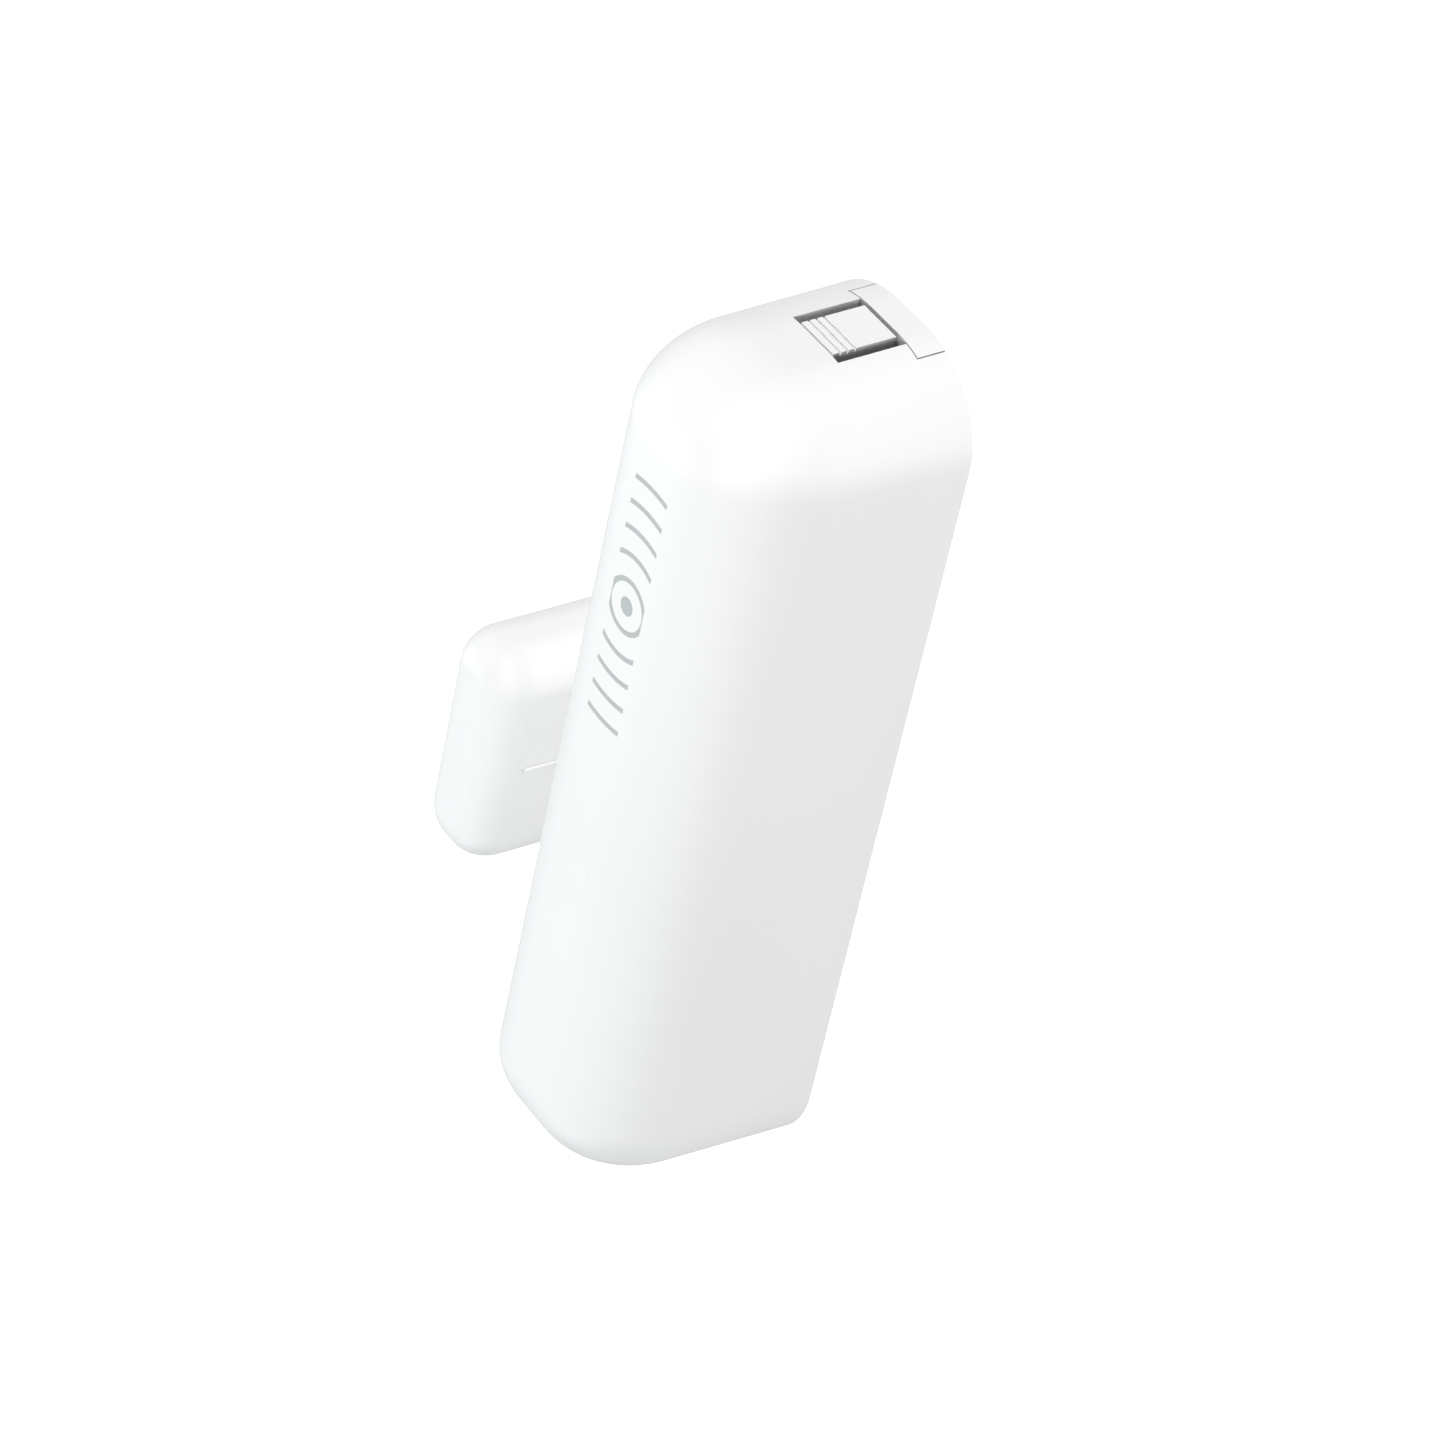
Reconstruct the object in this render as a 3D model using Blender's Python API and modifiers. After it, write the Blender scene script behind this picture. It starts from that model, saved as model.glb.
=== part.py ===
"""Wireless door and window contact sensor: a long rounded sensor housing and its magnet block.

The frame is in metres.  The origin is the centre of the sensor's wall face, which is the outer face of
its adhesive pad.  +Z runs along the housing towards the release latch, -Y points away from the wall and
the magnet unit stands on the -X side.
"""
import math

import bmesh
import bpy
from mathutils import Matrix, Vector

MM = 0.001

# ---------------------------------------------------------------- driving dimensions
PAD_THICKNESS = 0.8 * MM
BACK = -PAD_THICKNESS  # y of the plane that both housings' rims lie in

HOUSING_LENGTH = 75.0 * MM
HOUSING_WIDTH = 19.35 * MM
HOUSING_DEPTH = 20.2 * MM
HOUSING_CORNER_X = 8.0 * MM
HOUSING_CORNER_Z = 7.35 * MM
HOUSING_FILLET_INSET = 7.64 * MM
HOUSING_FILLET_DEPTH = 9.2 * MM
HOUSING_DRAFT = 0.36 * MM
SIDE_WALL = 1.2 * MM
FRONT_WALL = 1.4 * MM
FLAT_CORNER = 0.35 * MM  # smallest corner radius, round the flat strip on the front

CORNER_STEPS = 10
FILLET_STEPS = 12

GAP = 0.3 * MM  # between pieces that touch
SEAM = 0.1 * MM  # the visible seam round the end tab

PAD_HALF_WIDTH = 7.0 * MM
PAD_HALF_LENGTH = 26.0 * MM

PLATE_THICKNESS = 1.5 * MM
PLATE_BOTTOM_RELIEF = 1.0 * MM  # room for the housing's rim as it swings
PLATE_RIB_X = 6.6 * MM
PLATE_RIB_HALF_WIDTH = 0.4 * MM
PLATE_RIB_HALF_LENGTH = 25.0 * MM
PLATE_RIB_RISE = 0.5 * MM
SCREW_HOLE_Z = 29.5 * MM
SCREW_HOLE_RADIUS = 1.6 * MM
COUNTERSINK_RADIUS = 3.0 * MM

TAB_HALF_WIDTH = 4.24 * MM
TAB_DEPTH = 2.42 * MM
TAB_BOTTOM = 35.0 * MM
LIP_DEPTH = 0.7 * MM
LIP_BOTTOM = 35.7 * MM
TAB_UNDERSIDE = 36.2 * MM
CATCH_HALF_WIDTH = 2.4 * MM
CATCH_BOTTOM = 33.3 * MM

WINDOW_HALF_WIDTH = 2.87 * MM
WINDOW_FRONT = 8.4 * MM  # depths are measured from the rim plane towards the front

HOOK_HALF_WIDTH = 2.5 * MM
HOOK_BACK = 1.5 * MM
HOOK_FRONT = 2.2 * MM
HOOK_TIP = -37.1 * MM
HOOK_SLOT_BACK = 1.1 * MM
HOOK_SLOT_FRONT = 2.6 * MM
SWING_AXIS = (0.0, BACK - 1.85 * MM, -36.85 * MM)

LATCH_HALF_WIDTH = 2.0 * MM
LATCH_FRONT = 8.22 * MM
LATCH_BACK = 2.8 * MM
LATCH_THICKNESS = 1.2 * MM
GRIP_GROOVES = 3
GRIP_PITCH = 0.63 * MM
GRIP_WIDTH = 0.24 * MM
GRIP_DEPTH = 0.24 * MM
PIN_LUG_TOP = 36.1 * MM
TOOTH_SHORTFALL = 0.05 * MM  # the tooth stops this far short of the lip
PIN_DEPTH = 7.7 * MM
PIN_HEIGHT = 35.15 * MM
PIN_RADIUS = 0.5 * MM
PIN_HALF_LENGTH = 4.1 * MM
PIN_CLEARANCE = 0.06 * MM
KNUCKLE_RADIUS = 1.0 * MM

CELL_RADIUS = 7.05 * MM
SLEEVE_THICKNESS = 0.15 * MM
CELL_BOTTOM = 4.0 * MM
CELL_TOP = 28.0 * MM
CELL_DEPTH = 10.0 * MM
SADDLE_THICKNESS = 0.6 * MM
SADDLE_HALF_ANGLE = math.radians(66)

BOARD_TOP = 0.6 * MM
BOARD_BOTTOM = -32.8 * MM
BOARD_HALF_WIDTH = 7.2 * MM
BOARD_BACK = 9.0 * MM
BOARD_THICKNESS = 1.0 * MM
BOARD_SCREW_X = 4.86 * MM
BOARD_SCREW_Z = -30.2 * MM
COMPONENT_FOOT = BOARD_BACK - 0.05 * MM  # depth at which the parts on the board's back stand
BLOCK_ROUNDING = 0.15 * MM

TAMPER_X = 4.3 * MM
TAMPER_Z = -22.0 * MM
TAMPER_HALF_SIZE = 2.0 * MM
TAMPER_BASE_BACK = BOARD_BACK - 3.6 * MM
PLUNGER_RADIUS = 0.9 * MM

REED_X = -5.5 * MM
REED_HALF_LENGTH = 5.0 * MM
REED_RADIUS = 0.9 * MM
LED_Z = -12.0 * MM

MAGNET_X = -24.6 * MM
MAGNET_Z = -18.2 * MM
MAGNET_WIDTH = 8.25 * MM
MAGNET_LENGTH = 21.0 * MM
MAGNET_DEPTH = 13.0 * MM
MAGNET_CORNER = 3.55 * MM
MAGNET_FILLET_INSET = 3.1 * MM
MAGNET_FILLET_DEPTH = 3.45 * MM
MAGNET_DRAFT = 0.05 * MM
MAGNET_WALL = 1.1 * MM
MAGNET_PLATE = 1.2 * MM
BAR_HALF_WIDTH = 2.3 * MM
BAR_HALF_LENGTH = 7.5 * MM
BAR_THICKNESS = 4.6 * MM
MARK_HALF_HEIGHT = 0.18 * MM
MARK_PROUD = 0.14 * MM

OVERSHOOT = 1.0 * MM  # how far a cutter runs past the wall it cuts

# local axes of a side profile (drawn as depth, height) and of a plan outline (drawn as x, z)
SIDE_VIEW = Matrix(((0, 0, 1, 0), (1, 0, 0, 0), (0, 1, 0, 0), (0, 0, 0, 1)))
FRONT_VIEW = Matrix(((1, 0, 0, 0), (0, 0, -1, 0), (0, 1, 0, 0), (0, 0, 0, 1)))


# ---------------------------------------------------------------- helpers
def at(depth):
    """The y of a plane that lies this deep in front of the rim plane."""
    return BACK - depth


def end_height(depth):
    """The z of the housing's drafted end face at a depth, behind the front fillet."""
    return HOUSING_LENGTH / 2 - HOUSING_DRAFT * depth / (HOUSING_DEPTH - HOUSING_FILLET_DEPTH)


def clear_scene():
    for obj in list(bpy.data.objects):
        bpy.data.objects.remove(obj, do_unlink=True)


def make_collection(name):
    collection = bpy.data.collections.new(name)
    bpy.context.scene.collection.children.link(collection)
    return collection


clear_scene()
PARTS = make_collection("contact_sensor")
CUTTERS = make_collection("cutters")


def material(name, color, roughness, metallic=0.0, transmission=0.0):
    mat = bpy.data.materials.new(name)
    mat.use_nodes = True
    shader = mat.node_tree.nodes["Principled BSDF"]
    shader.inputs["Base Color"].default_value = (*color, 1.0)
    shader.inputs["Roughness"].default_value = roughness
    shader.inputs["Metallic"].default_value = metallic
    shader.inputs["Transmission Weight"].default_value = transmission
    return mat


def add_object(name, mesh, mat=None):
    """Links a mesh as a part, or as a cutter when it has no material."""
    obj = bpy.data.objects.new(name, mesh)
    if mat is None:
        CUTTERS.objects.link(obj)
        obj.hide_render = True
        obj.display_type = "WIRE"
    else:
        PARTS.objects.link(obj)
        mesh.materials.append(mat)
    return obj


def mesh_from(bm, name):
    mesh = bpy.data.meshes.new(name)
    bmesh.ops.recalc_face_normals(bm, faces=bm.faces)
    bm.to_mesh(mesh)
    bm.free()
    return mesh


def box(name, low, high, mat=None):
    low, high = Vector(low), Vector(high)
    size = Matrix.Diagonal((*(high - low), 1.0))
    bm = bmesh.new()
    bmesh.ops.create_cube(bm, size=1.0, matrix=Matrix.Translation((low + high) / 2) @ size)
    return add_object(name, mesh_from(bm, name), mat)


def cylinder(name, start, end, radius, mat=None, segments=24, end_radius=None):
    start, end = Vector(start), Vector(end)
    along = end - start
    turn = along.to_track_quat("Z", "Y").to_matrix().to_4x4()
    bm = bmesh.new()
    bmesh.ops.create_cone(
        bm, cap_ends=True, segments=segments, radius1=radius,
        radius2=radius if end_radius is None else end_radius, depth=along.length,
        matrix=Matrix.Translation((start + end) / 2) @ turn)
    obj = add_object(name, mesh_from(bm, name), mat)
    smooth(obj)
    return obj


def smooth(obj, angle=40):
    obj.data.shade_smooth()
    obj.data.set_sharp_from_angle(angle=math.radians(angle))


def bevel(obj, width, segments=2):
    modifier = obj.modifiers.new("Bevel", "BEVEL")
    modifier.width = width
    modifier.segments = segments
    modifier.limit_method = "ANGLE"
    modifier.angle_limit = math.radians(40)


def evaluated_mesh(obj):
    bpy.context.view_layer.update()
    graph = bpy.context.evaluated_depsgraph_get()
    return bpy.data.meshes.new_from_object(obj.evaluated_get(graph))


def combine(target, tool, operation):
    """Applies one exact Boolean to the target's mesh and removes the tool."""
    modifier = target.modifiers.new("Boolean", "BOOLEAN")
    modifier.operation = operation
    modifier.solver = "EXACT"
    modifier.object = tool
    old, materials = target.data, list(target.data.materials)
    mesh = evaluated_mesh(target)
    target.modifiers.clear()
    target.data = mesh
    mesh.name = target.name
    mesh.materials.clear()
    for mat in materials:
        mesh.materials.append(mat)
    bpy.data.meshes.remove(old)
    bpy.data.objects.remove(tool, do_unlink=True)


def cut(target, tool):
    combine(target, tool, "DIFFERENCE")


def join(target, tool):
    combine(target, tool, "UNION")


def keep_inside(target, tool):
    combine(target, tool, "INTERSECT")


def curve_to_mesh(obj, mat):
    """Turns a curve object into a welded mesh object of the same name and place."""
    mesh = evaluated_mesh(obj)
    bm = bmesh.new()
    bm.from_mesh(mesh)
    bmesh.ops.remove_doubles(bm, verts=bm.verts, dist=1e-7)
    bmesh.ops.recalc_face_normals(bm, faces=bm.faces)
    bm.transform(obj.matrix_world)
    bm.to_mesh(mesh)
    bm.free()
    name = obj.name
    bpy.data.objects.remove(obj, do_unlink=True)
    mesh.materials.clear()
    return add_object(name, mesh, mat)


def flat_shape(name, points, low, high, view, mat=None):
    """Extrudes a flat outline from low to high along the view's normal axis."""
    curve = bpy.data.curves.new(name, "CURVE")
    curve.dimensions = "2D"
    curve.fill_mode = "BOTH"
    curve.extrude = (high - low) / 2
    spline = curve.splines.new("POLY")
    spline.points.add(len(points) - 1)
    for slot, (u, v) in zip(spline.points, points):
        slot.co = (u, v, 0.0, 1.0)
    spline.use_cyclic_u = True
    obj = bpy.data.objects.new(name, curve)
    bpy.context.scene.collection.objects.link(obj)
    normal = view.to_3x3() @ Vector((0, 0, 1))
    middle = (low + high) / 2
    obj.matrix_world = Matrix.Translation(Vector(abs(c) for c in normal) * middle) @ view
    return curve_to_mesh(obj, mat)


def rounded_outline(half_x, half_z, radius_x, radius_z, steps):
    """Points of a rectangle with elliptical corners, anticlockwise in x and z."""
    points = []
    for sign_x, sign_z, first in ((1, 1, 0), (-1, 1, 90), (-1, -1, 180), (1, -1, 270)):
        for step in range(steps + 1):
            angle = math.radians(first + 90 * step / steps)
            points.append((sign_x * (half_x - radius_x) + radius_x * math.cos(angle),
                           sign_z * (half_z - radius_z) + radius_z * math.sin(angle)))
    return points


def plate(name, centre_x, centre_z, half_x, half_z, radius, low, high, mat=None, steps=5):
    """A flat plate with round corners that lies between two depths from the rim plane."""
    points = [(centre_x + u, centre_z + v)
              for u, v in rounded_outline(half_x, half_z, radius, radius, steps)]
    return flat_shape(name, points, at(high), at(low), FRONT_VIEW, mat)


def wire(name, points, radius, mat, resolution=2):
    curve = bpy.data.curves.new(name, "CURVE")
    curve.dimensions = "3D"
    curve.bevel_depth = radius
    curve.bevel_resolution = resolution
    curve.use_fill_caps = True
    spline = curve.splines.new("POLY")
    spline.points.add(len(points) - 1)
    for slot, point in zip(spline.points, points):
        slot.co = (*point, 1.0)
    obj = bpy.data.objects.new(name, curve)
    bpy.context.scene.collection.objects.link(obj)
    return curve_to_mesh(obj, mat)


def turned(name, profile, base, axis, mat=None, steps=24):
    """Turns a profile of (radius, height) pairs, listed from the top down, about an axis from base."""
    bm = bmesh.new()
    corners = [bm.verts.new((radius, 0.0, height)) for radius, height in profile]
    for first, second in zip(corners, corners[1:]):
        bm.edges.new((first, second))
    mesh = bpy.data.meshes.new(name)
    bm.to_mesh(mesh)
    bm.free()
    obj = add_object(name, mesh, mat)
    screw = obj.modifiers.new("Screw", "SCREW")
    screw.steps = steps
    screw.render_steps = steps
    screw.use_merge_vertices = True
    screw.merge_threshold = 1e-6
    obj.matrix_world = Matrix.Translation(base) @ Vector(axis).to_track_quat("Z", "Y").to_matrix().to_4x4()
    return obj


def rounded_body(name, width, length, depth, corner_x, corner_z, inset, fillet, draft, start, mat=None,
                 centre_x=0.0, centre_z=0.0):
    """A housing form: rounded rings lofted from the depth start to the front, closed by an elliptical fillet.

    Each ring is the plan outline moved in by the fillet's inset at that depth.
    """
    rings = [(start, 0.0)]
    for step in range(FILLET_STEPS + 1):
        angle = math.pi / 2 * step / FILLET_STEPS
        rings.append((depth - fillet * (1 - math.sin(angle)), draft + inset * (1 - math.cos(angle))))
    bm = bmesh.new()
    loops = []
    for ring_depth, ring_inset in rings:
        radius_x = max(corner_x - ring_inset, FLAT_CORNER)
        radius_z = max(corner_z - ring_inset, FLAT_CORNER)
        outline = rounded_outline(width / 2 - ring_inset, length / 2 - ring_inset,
                                  radius_x, radius_z, CORNER_STEPS)
        loops.append([bm.verts.new((centre_x + u, at(ring_depth), centre_z + v)) for u, v in outline])
    for lower, upper in zip(loops, loops[1:]):
        count = len(lower)
        for i in range(count):
            j = (i + 1) % count
            bm.faces.new((lower[i], lower[j], upper[j], upper[i]))
    bm.faces.new(loops[0])
    bm.faces.new(loops[-1])
    obj = add_object(name, mesh_from(bm, name), mat)
    smooth(obj)
    return obj


def housing_form(name, shrink_side=0.0, shrink_front=0.0, start=0.0, mat=None):
    """The sensor housing's outer form, or its hollow when the walls are taken off."""
    return rounded_body(
        name, HOUSING_WIDTH - 2 * shrink_side, HOUSING_LENGTH - 2 * shrink_side, HOUSING_DEPTH - shrink_front,
        HOUSING_CORNER_X - shrink_side, HOUSING_CORNER_Z - shrink_side,
        HOUSING_FILLET_INSET - shrink_side / 2, HOUSING_FILLET_DEPTH - shrink_front / 2,
        HOUSING_DRAFT, start, mat)


def magnet_form(name, shrink=0.0, start=0.0, mat=None):
    return rounded_body(
        name, MAGNET_WIDTH - 2 * shrink, MAGNET_LENGTH - 2 * shrink, MAGNET_DEPTH - shrink,
        MAGNET_CORNER - shrink, MAGNET_CORNER - shrink, MAGNET_FILLET_INSET - shrink,
        MAGNET_FILLET_DEPTH - shrink, MAGNET_DRAFT, start, mat, MAGNET_X, MAGNET_Z)


def empty(name, location):
    obj = bpy.data.objects.new(name, None)
    PARTS.objects.link(obj)
    obj.location = location
    obj.empty_display_size = 5 * MM
    return obj


def hang_on(parent, *children):
    """Parents pieces to an unrotated empty without moving them."""
    for child in children:
        child.parent = parent
        child.matrix_parent_inverse = Matrix.Translation(-parent.location)


def move_origin(obj, point):
    """Puts an object's origin on a point and leaves its shape where it is."""
    obj.data.transform(Matrix.Translation(-Vector(point)))
    obj.location = point


# ---------------------------------------------------------------- materials
WHITE_SHELL = (0.88, 0.89, 0.90)


# ---------------------------------------------------------------- wall plate
def make_adhesive_pad():
    foam = material("foam_tape", (0.72, 0.73, 0.74), 0.9)
    return plate("adhesive_pad", 0, 0, PAD_HALF_WIDTH, PAD_HALF_LENGTH, 1.5 * MM,
                 -PAD_THICKNESS, -0.02 * MM, foam)


def make_back_plate():
    """Inset plate, the end tab with its catch lip, screw holes, ribs and the bottom hook."""
    mat = material("back_plate", WHITE_SHELL, 0.4)
    side = SIDE_WALL + GAP
    top = HOUSING_LENGTH / 2 - side
    bottom = -top + PLATE_BOTTOM_RELIEF
    body = plate("back_plate", 0, (top + bottom) / 2, HOUSING_WIDTH / 2 - side, (top - bottom) / 2,
                 HOUSING_CORNER_Z - side, 0, PLATE_THICKNESS, mat, steps=7)
    tab = box("tab", (-TAB_HALF_WIDTH, at(TAB_DEPTH), TAB_BOTTOM),
              (TAB_HALF_WIDTH, at(0), HOUSING_LENGTH / 2 + OVERSHOOT))
    keep_inside(tab, housing_form("tab_limit"))
    join(body, tab)
    cut(body, box("catch_hollow", (-CATCH_HALF_WIDTH, at(TAB_DEPTH - LIP_DEPTH), CATCH_BOTTOM),
                  (CATCH_HALF_WIDTH, at(-OVERSHOOT), TAB_UNDERSIDE)))
    cut(body, box("catch_mouth", (-CATCH_HALF_WIDTH, at(TAB_DEPTH + OVERSHOOT), CATCH_BOTTOM),
                  (CATCH_HALF_WIDTH, at(-OVERSHOOT), LIP_BOTTOM)))
    hook_leg = box("hook_leg", (-HOOK_HALF_WIDTH, at(HOOK_FRONT), HOOK_TIP),
                   (HOOK_HALF_WIDTH, at(HOOK_BACK - 0.01 * MM), bottom + 1.6 * MM))
    join(body, hook_leg)
    for side_sign in (-1, 1):
        rib_x = side_sign * PLATE_RIB_X
        join(body, box("rib", (rib_x - PLATE_RIB_HALF_WIDTH, at(PLATE_THICKNESS + PLATE_RIB_RISE),
                               -PLATE_RIB_HALF_LENGTH),
                       (rib_x + PLATE_RIB_HALF_WIDTH, at(PLATE_THICKNESS - 0.3 * MM), PLATE_RIB_HALF_LENGTH)))
    for hole_z in (-SCREW_HOLE_Z, SCREW_HOLE_Z):
        cut(body, cylinder("screw_hole", (0, at(-OVERSHOOT), hole_z),
                           (0, at(PLATE_THICKNESS + OVERSHOOT), hole_z), SCREW_HOLE_RADIUS))
        cut(body, cylinder("countersink", (0, at(0.7 * MM), hole_z),
                           (0, at(PLATE_THICKNESS + 0.6 * MM), hole_z),
                           SCREW_HOLE_RADIUS - 0.05 * MM, end_radius=COUNTERSINK_RADIUS))
    return body


# ---------------------------------------------------------------- sensor unit
def make_front_housing():
    mat = material("front_housing", WHITE_SHELL, 0.32)
    shell = housing_form("front_housing", mat=mat)
    cut(shell, housing_form("hollow", SIDE_WALL, FRONT_WALL, -OVERSHOOT))
    lug_inner = WINDOW_HALF_WIDTH + 0.2 * MM
    lug_outer = PIN_HALF_LENGTH + 0.5 * MM
    for sign in (-1, 1):
        xs = sorted((sign * lug_inner, sign * lug_outer))
        join(shell, box("pin_lug", (xs[0], at(PIN_DEPTH + 1.1 * MM), PIN_HEIGHT - 1.1 * MM),
                        (xs[1], at(PIN_DEPTH - 1.1 * MM), PIN_LUG_TOP)))
    cut(shell, box("latch_window", (-WINDOW_HALF_WIDTH, at(WINDOW_FRONT), 34.0 * MM),
                   (WINDOW_HALF_WIDTH, at(TAB_DEPTH - SEAM), HOUSING_LENGTH / 2 + OVERSHOOT)))
    notch = TAB_HALF_WIDTH + SEAM
    cut(shell, box("tab_notch", (-notch, at(TAB_DEPTH + SEAM), 33.0 * MM),
                   (notch, at(-OVERSHOOT), HOUSING_LENGTH / 2 + OVERSHOOT)))
    cut(shell, cylinder("pin_bore", (-PIN_HALF_LENGTH - GAP, at(PIN_DEPTH), PIN_HEIGHT),
                        (PIN_HALF_LENGTH + GAP, at(PIN_DEPTH), PIN_HEIGHT), PIN_RADIUS + PIN_CLEARANCE,
                        segments=16))
    hook_slot = HOOK_HALF_WIDTH + 0.2 * MM
    cut(shell, box("hook_slot", (-hook_slot, at(HOOK_SLOT_FRONT), -HOUSING_LENGTH / 2 - OVERSHOOT),
                   (hook_slot, at(HOOK_SLOT_BACK), -HOUSING_LENGTH / 2 + SIDE_WALL + 0.5 * MM)))
    half_width = HOUSING_WIDTH / 2
    rib = box("alignment_rib", (-half_width - OVERSHOOT, at(10.6 * MM), MAGNET_Z - MARK_HALF_HEIGHT),
              (-half_width + 0.8 * MM, at(0.6 * MM), MAGNET_Z + MARK_HALF_HEIGHT))
    keep_inside(rib, housing_form("rib_limit", -MARK_PROUD, 0.0, -OVERSHOOT))
    join(shell, rib)
    smooth(shell)
    return shell


def make_inner_chassis():
    """Saddle round the front of the cell, its end walls, and a deck with posts for the board."""
    mat = material("inner_chassis", (0.08, 0.085, 0.09), 0.5)
    inner = CELL_RADIUS + SLEEVE_THICKNESS + GAP
    outer = inner + SADDLE_THICKNESS
    steps = 12
    angles = [-SADDLE_HALF_ANGLE + 2 * SADDLE_HALF_ANGLE * i / steps for i in range(steps + 1)]
    arc_out = [(outer * math.sin(a), -outer * math.cos(a)) for a in angles]
    arc_in = [(inner * math.sin(a), -inner * math.cos(a)) for a in reversed(angles)]
    floor_z, roof_z = CELL_BOTTOM - 2.7 * MM, CELL_TOP + 2.6 * MM
    curve_points = [(x, at(CELL_DEPTH) + y) for x, y in arc_out + arc_in]
    chassis = flat_shape("inner_chassis", curve_points, floor_z, roof_z, Matrix.Identity(4), mat)
    join(chassis, box("floor_wall", (-5.2 * MM, at(15.8 * MM), floor_z - 0.4 * MM),
                      (5.2 * MM, at(5.0 * MM), floor_z + 0.4 * MM)))
    join(chassis, box("roof_wall", (-5.2 * MM, at(15.8 * MM), roof_z - 0.5 * MM),
                      (5.2 * MM, at(5.0 * MM), roof_z + 0.3 * MM)))
    join(chassis, box("deck", (-6.2 * MM, at(12.6 * MM), BOARD_BOTTOM + 1.0 * MM),
                      (6.2 * MM, at(11.6 * MM), floor_z)))
    opening = 2.4 * MM
    cut(chassis, box("led_opening", (-opening, at(14.0 * MM), LED_Z - opening),
                     (opening, at(10.5 * MM), LED_Z + opening)))
    board_front = BOARD_BACK + BOARD_THICKNESS + GAP
    for sign in (-1, 1):
        for post_z in (BOARD_SCREW_Z, -2.4 * MM):
            join(chassis, cylinder("post", (sign * BOARD_SCREW_X, at(12.2 * MM), post_z),
                                   (sign * BOARD_SCREW_X, at(board_front), post_z), 1.6 * MM, segments=16))
        cut(chassis, cylinder("post_bore", (sign * BOARD_SCREW_X, at(13.6 * MM), BOARD_SCREW_Z),
                              (sign * BOARD_SCREW_X, at(9.0 * MM), BOARD_SCREW_Z), 0.8 * MM, segments=16))
    return chassis


def make_battery():
    can = material("battery_cell", (0.60, 0.61, 0.62), 0.3, metallic=1.0)
    wrap = material("battery_sleeve", (0.05, 0.16, 0.10), 0.35)
    height = CELL_TOP - CELL_BOTTOM
    edge = 0.5 * MM
    cell = turned("battery_cell", [(0, height), (CELL_RADIUS - edge, height), (CELL_RADIUS, height - edge),
                                   (CELL_RADIUS, edge), (CELL_RADIUS - edge, 0), (2.7 * MM, 0),
                                   (2.7 * MM, -1.0 * MM), (2.4 * MM, -1.2 * MM), (0, -1.2 * MM)],
                  (0, at(CELL_DEPTH), CELL_BOTTOM), (0, 0, 1), can, steps=32)
    inner = CELL_RADIUS + 0.03 * MM
    outer = CELL_RADIUS + SLEEVE_THICKNESS
    sleeve = cylinder("battery_sleeve", (0, at(CELL_DEPTH), CELL_BOTTOM + 0.3 * MM),
                      (0, at(CELL_DEPTH), CELL_TOP - 0.3 * MM), outer, wrap, segments=32)
    cut(sleeve, cylinder("sleeve_hollow", (0, at(CELL_DEPTH), CELL_BOTTOM - OVERSHOOT),
                         (0, at(CELL_DEPTH), CELL_TOP + OVERSHOOT), inner, segments=32))
    smooth(sleeve)
    return cell, sleeve


def make_contacts():
    plated = material("positive_contact", (0.70, 0.69, 0.66), 0.3, metallic=1.0)
    steel = material("negative_spring", (0.62, 0.62, 0.63), 0.3, metallic=1.0)
    leaf_z = CELL_BOTTOM - 1.95 * MM
    leaf = box("positive_contact", (-2.6 * MM, at(13.4 * MM), leaf_z - 0.15 * MM),
               (2.6 * MM, at(5.4 * MM), leaf_z + 0.15 * MM), plated)
    join(leaf, cylinder("contact_dimple", (0, at(CELL_DEPTH), leaf_z),
                        (0, at(CELL_DEPTH), leaf_z + 0.35 * MM), 1.4 * MM, segments=16, end_radius=0.9 * MM))
    turns, per_turn = 2.5, 12
    bottom, top = CELL_TOP + 0.65 * MM, CELL_TOP + 1.75 * MM
    count = int(turns * per_turn)
    points = []
    for i in range(count + 1):
        share = i / count
        angle = 2 * math.pi * turns * share
        radius = (2.6 + 1.9 * share) * MM
        points.append((radius * math.cos(angle), at(CELL_DEPTH) + radius * math.sin(angle),
                       bottom + (top - bottom) * share))
    spring = wire("negative_spring", points, 0.18 * MM, steel)
    return leaf, spring


def make_circuit_board():
    mat = material("circuit_board", (0.02, 0.16, 0.09), 0.4)
    half = (BOARD_TOP - BOARD_BOTTOM) / 2
    board = plate("circuit_board", 0, (BOARD_TOP + BOARD_BOTTOM) / 2, BOARD_HALF_WIDTH, half, 1.2 * MM,
                  BOARD_BACK, BOARD_BACK + BOARD_THICKNESS, mat, steps=4)
    for sign in (-1, 1):
        x = sign * BOARD_SCREW_X
        cut(board, cylinder("board_hole", (x, at(BOARD_BACK - OVERSHOOT), BOARD_SCREW_Z),
                            (x, at(BOARD_BACK + BOARD_THICKNESS + OVERSHOOT), BOARD_SCREW_Z), 0.95 * MM,
                            segments=16))
    return board


def board_part(name, x, z, size_x, size_z, height, mat, rounding=BLOCK_ROUNDING):
    """A block that stands on the board's back face with a hair's gap."""
    obj = box(name, (x - size_x / 2, at(COMPONENT_FOOT), z - size_z / 2),
              (x + size_x / 2, at(COMPONENT_FOOT - height), z + size_z / 2), mat)
    bevel(obj, rounding, 2)
    return obj


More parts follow.
